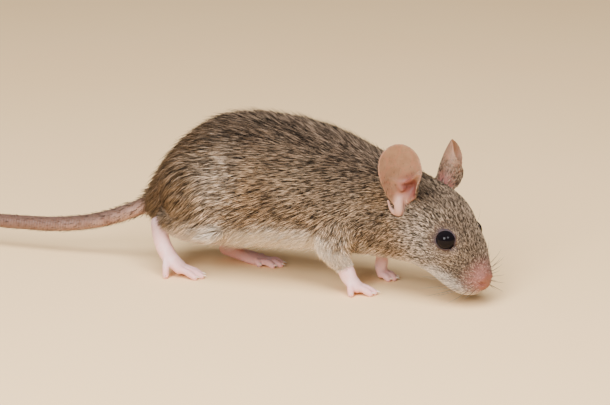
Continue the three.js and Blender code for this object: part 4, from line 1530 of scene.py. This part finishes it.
# How far the front ones point ahead on each side and the upper ones point up, and how much less
# each next one does.
WHISKERS_POINT = {"ahead": {-1: -0.1, 1: 0.62}, "less_ahead": 0.36, "up": 0.5, "less_up": 0.26}
BROW_WHISKER = {"root": (37.4, 3.9, 16.2), "length": 3.4, "thick": 0.024}


def whisker(root, way, bend, length, thick):
    """One whisker: a fine taper that leaves its root along way and bends as it goes."""
    t = np.linspace(0, 1, 12)
    path = root + unit(way) * (t * length)[:, None] + bend * (t**2 * length)[:, None]
    path[:, 2] = np.maximum(path[:, 2], 0.1)
    return taper(path, thick * (1 - t) ** 0.7 + 0.006, around=5)


def whisker_tapers(rng):
    """Rows of whiskers on both sides of the muzzle, swept back along it, and one over each eye."""
    x, left, z = WHISKERS["root"]
    back, aside, higher = WHISKERS["step"]
    brow_x, brow_left, brow_z = BROW_WHISKER["root"]
    turn = WHISKERS_POINT
    for _, side in SIDES:
        for row in range(WHISKERS["rows"]):
            for step in range(WHISKERS["steps"]):
                high = z - WHISKERS["row"] * row + higher * step
                root = on_head(x - back * step, side * (left + aside * step), high)
                length = (WHISKERS["length"] + WHISKERS["longer"] * step) * rng.uniform(0.8, 1.1)
                ahead = turn["ahead"][side] - turn["less_ahead"] * step + rng.normal(0, 0.08)
                up = turn["up"] - turn["less_up"] * row + rng.normal(0, 0.05)
                way = 0.8 * side * HEAD_LEFT + ahead * HEAD_AHEAD + up * UP
                bend = -0.22 * HEAD_AHEAD + 0.05 * UP
                yield whisker(root, way, bend, length, WHISKERS["thick"])
        root = on_head(brow_x, side * brow_left, brow_z)
        way = 0.8 * side * HEAD_LEFT + 0.7 * UP
        yield whisker(root, way, -0.3 * HEAD_AHEAD, BROW_WHISKER["length"], BROW_WHISKER["thick"])


def gathered(tapers):
    """Several tapers as one surface with its along field."""
    made = list(tapers)
    points, faces = joined([(p, f) for p, f, _ in made])
    return points, faces, np.concatenate([along for _, _, along in made])


# ---------------------------------------------------------------- settings

class MouseCoatSettings(bpy.types.PropertyGroup):
    """The coat's colours and how full it is"""

    back: bpy.props.FloatVectorProperty(
        name="Back", description="Colour of the back", subtype="COLOR", default=(0.085, 0.057, 0.038))
    flank: bpy.props.FloatVectorProperty(
        name="Flank", description="Colour of the flanks", subtype="COLOR", default=(0.26, 0.19, 0.127))
    belly: bpy.props.FloatVectorProperty(
        name="Belly", description="Colour of the belly and chin", subtype="COLOR", default=(0.72, 0.64, 0.55))
    ochre: bpy.props.FloatVectorProperty(
        name="Ochre", description="Colour of the warm patches", subtype="COLOR", default=(0.29, 0.175, 0.085))
    light: bpy.props.FloatVectorProperty(
        name="Light", description="Colour of the lighter patches", subtype="COLOR",
        default=(0.50, 0.425, 0.35))
    muzzle: bpy.props.FloatVectorProperty(
        name="Muzzle", description="Colour of the muzzle's hair", subtype="COLOR",
        default=(0.27, 0.145, 0.12))
    fullness: bpy.props.FloatProperty(
        name="Fullness", description="Share of the full number of tufts", subtype="FACTOR",
        default=1.0, min=0.05, max=2.0)
    most_tufts: bpy.props.IntProperty(
        name="Most tufts", description="Largest number of tufts in the coat", default=145000, min=1000)
    most_faces: bpy.props.IntProperty(
        name="Most faces", description="Largest number of faces in one coat piece", default=190000, min=1000)
    seed: bpy.props.IntProperty(name="Seed", description="Start of the random draws", default=7)


class MouseSkinSettings(bpy.types.PropertyGroup):
    """The bare skin's colours and the fineness of its surface"""

    fineness: bpy.props.FloatProperty(
        name="Fineness", description="Size of the skin's smallest faces in millimetres",
        default=0.19, min=0.12)
    paw: bpy.props.FloatVectorProperty(
        name="Paws", description="Colour of the paws", subtype="COLOR", default=(0.86, 0.60, 0.62))
    ear: bpy.props.FloatVectorProperty(
        name="Ears", description="Colour of the ears", subtype="COLOR", default=(0.275, 0.16, 0.098))
    tail: bpy.props.FloatVectorProperty(
        name="Tail", description="Colour of the tail", subtype="COLOR", default=(0.44, 0.275, 0.22))
    nose: bpy.props.FloatVectorProperty(
        name="Nose", description="Colour of the nose", subtype="COLOR", default=(0.22, 0.085, 0.064))
    muzzle: bpy.props.FloatVectorProperty(
        name="Muzzle", description="Colour of the muzzle's skin", subtype="COLOR",
        default=(0.27, 0.11, 0.092))
    lid: bpy.props.FloatVectorProperty(
        name="Eyelids", description="Colour of the eyelids", subtype="COLOR", default=(0.05, 0.032, 0.037))


class MouseStageSettings(bpy.types.PropertyGroup):
    """The floor's colour and the strength of the lights"""

    floor: bpy.props.FloatVectorProperty(
        name="Floor", description="Colour of the floor", subtype="COLOR", default=(0.97, 0.65, 0.33))
    key: bpy.props.FloatProperty(
        name="Key light", description="Power of the main light", unit="POWER", default=7.2, min=0.0)
    fill: bpy.props.FloatProperty(
        name="Surroundings", description="Brightness of the surroundings", default=0.22, min=0.0)


# ---------------------------------------------------------------- operators

AIM = (0.0, 0.0, 16.4)  # what the camera and the lights point at, in millimetres
# The camera: degrees round from the mouse's right and up from the floor, metres away, and its lens.
CAMERA = {"turn": 25, "lift": 14, "away": 0.6, "lens": 169.97, "sensor": 36}
# Each light's name, place from the aim and size in metres, and share of the key light's power.
LIGHTS = [
    ("ceiling", (0.06, -0.26, 0.58), 0.56, 1.0),
    ("window", (0.02, -0.49, 0.26), 0.24, 0.46),
    ("far window", (0.34, -0.30, 0.32), 0.19, 0.2),
]
FLOOR_RADIUS = 4.0  # metres
FLOOR_SIDES = 96
FLOOR_TONE = (0.98, 0.69, 0.38, 1)  # mottled into the floor's own colour
SURROUNDINGS = (1.0, 0.97, 0.93, 1)
FLESH = ["trunk", "neck", "head", "nose"] + [f"tail_{i}" for i in range(1, 5)] + [
    f"{part}_{name}" for part in ("thigh", "shank", "hindfoot", "foreleg", "forepaw", "ear")
    for name, _ in SIDES]


def make_floor(context, aim, settings):
    """A round plain floor."""
    angle = 2 * np.pi * np.arange(FLOOR_SIDES) / FLOOR_SIDES
    rim = np.stack([np.cos(angle), np.sin(angle), 0 * angle], -1) * FLOOR_RADIUS
    mesh = bpy.data.meshes.new("floor")
    mesh.from_pydata((rim + (aim.x, 0, 0)).tolist(), [], [list(range(FLOOR_SIDES))])
    floor = bpy.data.objects.new("floor", mesh)
    context.scene.collection.objects.link(floor)
    made, n, shader = material("floor", 0.75, 0.2)
    n.feed(shader, "Base Color", n.blend(n.noise(9, 4), colour_of(settings, "floor"), FLOOR_TONE))
    mesh.materials.append(made)


def make_lights(context, aim, settings):
    """Soft surroundings, a ceiling light and two windows, which alone show in the eyes."""
    world = bpy.data.worlds.new("surroundings")
    world.use_nodes = True
    back = world.node_tree.nodes["Background"]
    back.inputs["Color"].default_value = SURROUNDINGS
    back.inputs["Strength"].default_value = settings.fill
    context.scene.world = world
    for name, place, size, share in LIGHTS:
        data = bpy.data.lights.new(name, "AREA")
        data.shape = "DISK"
        data.size = size
        data.energy = settings.key * share
        lamp = bpy.data.objects.new(name, data)
        lamp.visible_glossy = name != "ceiling"
        lamp.location = aim + Vector(place)
        lamp.rotation_euler = (aim - lamp.location).to_track_quat("-Z", "Y").to_euler()
        context.scene.collection.objects.link(lamp)


def make_camera(context, aim):
    """The camera, on the mouse's right and a little above."""
    turn, lift = math.radians(CAMERA["turn"]), math.radians(CAMERA["lift"])
    data = bpy.data.cameras.new("camera")
    data.lens = CAMERA["lens"]
    data.sensor_width = CAMERA["sensor"]
    data.clip_start = 0.01
    camera = bpy.data.objects.new("camera", data)
    level = math.cos(lift)
    back = Vector((math.sin(turn) * level, -math.cos(turn) * level, math.sin(lift)))
    camera.location = aim + back * CAMERA["away"]
    camera.rotation_euler = (-back).to_track_quat("-Z", "Y").to_euler()
    context.scene.collection.objects.link(camera)
    context.scene.camera = camera


class MOUSE_OT_stage(bpy.types.Operator):
    """Makes the floor, the lights and the camera"""

    bl_idname = "mouse.stage"
    bl_label = "Set the stage"

    def execute(self, context):
        settings = context.scene.mouse_stage
        aim = Vector(row_frame(np.array([AIM]))[0])
        make_floor(context, aim, settings)
        make_lights(context, aim, settings)
        make_camera(context, aim)
        return {"FINISHED"}


class MOUSE_OT_skin(bpy.types.Operator):
    """Makes the one skin that stands for all the flesh, with lids, nostrils and mouth"""

    bl_idname = "mouse.skin"
    bl_label = "Make the skin"

    def execute(self, context):
        skin = context.scene.mouse_skin
        voxel = skin.fineness * 1
        points, faces, fields, owner, forms = skin_surface(voxel)
        names = [form.name for form in forms]
        normals = normals_of(points, faces)
        marks = markings(points, normals, names, owner, fields[:, 1])
        net = Net(faces, len(points))
        for key in ("paw_skin", "ear_skin", "tail_skin", "pale"):
            marks[key] = net.spread(marks[key], 4)
        SKIN.update(
            points=points, faces=faces, fields=fields, owner=owner, forms=forms, names=names, marks=marks,
            normals=normals, cover=Cover(points, faces), lie=lie_of_coat(points, normals, fields))
        finish = skin_material(context.scene.mouse_coat, skin)
        placed("skin", points, faces, finish, "coat", replaced=FLESH, fields=marks)
        return {"FINISHED"}


class MOUSE_OT_eyes(bpy.types.Operator):
    """Makes the two eyes"""

    bl_idname = "mouse.eyes"
    bl_label = "Make the eyes"

    def execute(self, context):
        finish = eye_material()
        ball = Form("ball", sphere_rings(60, 80, 88), *POLES)
        for name, side in SIDES:
            points = ball.points * EYE["radius"] + eye_centre(side)
            placed(f"eyeball_{name}", points, ball.faces, finish, "eye", replaced=[f"eye_{name}"])
        return {"FINISHED"}


class MOUSE_OT_coat(bpy.types.Operator):
    """Grows the coat over the skin"""

    bl_idname = "mouse.coat"
    bl_label = "Grow the coat"

    def execute(self, context):
        if not SKIN:
            raise RuntimeError("make the skin before the coat")
        settings = context.scene.mouse_coat
        coat_pieces(grow_tufts(settings), coat_material(settings), settings)
        return {"FINISHED"}


class MOUSE_OT_claws(bpy.types.Operator):
    """Makes the claws"""

    bl_idname = "mouse.claws"
    bl_label = "Make the claws"

    def execute(self, context):
        points, faces, along = gathered(claw_tapers())
        placed("claws", points, faces, horn_material(), "foot_skin", fields={"along": along})
        return {"FINISHED"}


class MOUSE_OT_whiskers(bpy.types.Operator):
    """Makes the whiskers"""

    bl_idname = "mouse.whiskers"
    bl_label = "Make the whiskers"

    def execute(self, context):
        points, faces, along = gathered(whisker_tapers(np.random.default_rng(5)))
        placed("whiskers", points, faces, whisker_material(), "coat", fields={"along": along})
        return {"FINISHED"}


class MOUSE_PT_panel(bpy.types.Panel):
    """The steps of making the mouse"""

    bl_idname = "MOUSE_PT_panel"
    bl_label = "House mouse"
    bl_space_type = "VIEW_3D"
    bl_region_type = "UI"
    bl_category = "Mouse"

    def draw(self, context):
        for step in OPERATORS:
            self.layout.operator(step.bl_idname)


SETTINGS = {
    "mouse_coat": MouseCoatSettings,
    "mouse_skin": MouseSkinSettings,
    "mouse_stage": MouseStageSettings,
}
OPERATORS = [
    MOUSE_OT_stage, MOUSE_OT_skin, MOUSE_OT_eyes, MOUSE_OT_claws, MOUSE_OT_whiskers, MOUSE_OT_coat]


def register():
    """Adds the settings, the steps and the panel to Blender."""
    for made in [*SETTINGS.values(), *OPERATORS, MOUSE_PT_panel]:
        bpy.utils.register_class(made)
    for name, group in SETTINGS.items():
        setattr(bpy.types.Scene, name, bpy.props.PointerProperty(type=group))


def unregister():
    """Takes them out again."""
    for name in SETTINGS:
        delattr(bpy.types.Scene, name)
    for made in [MOUSE_PT_panel, *OPERATORS[::-1], *SETTINGS.values()]:
        bpy.utils.unregister_class(made)


def main():
    """Makes the whole mouse."""
    register()
    for step in OPERATORS:
        family, name = step.bl_idname.split(".")
        getattr(getattr(bpy.ops, family), name)()


if __name__ == "__main__":
    main()
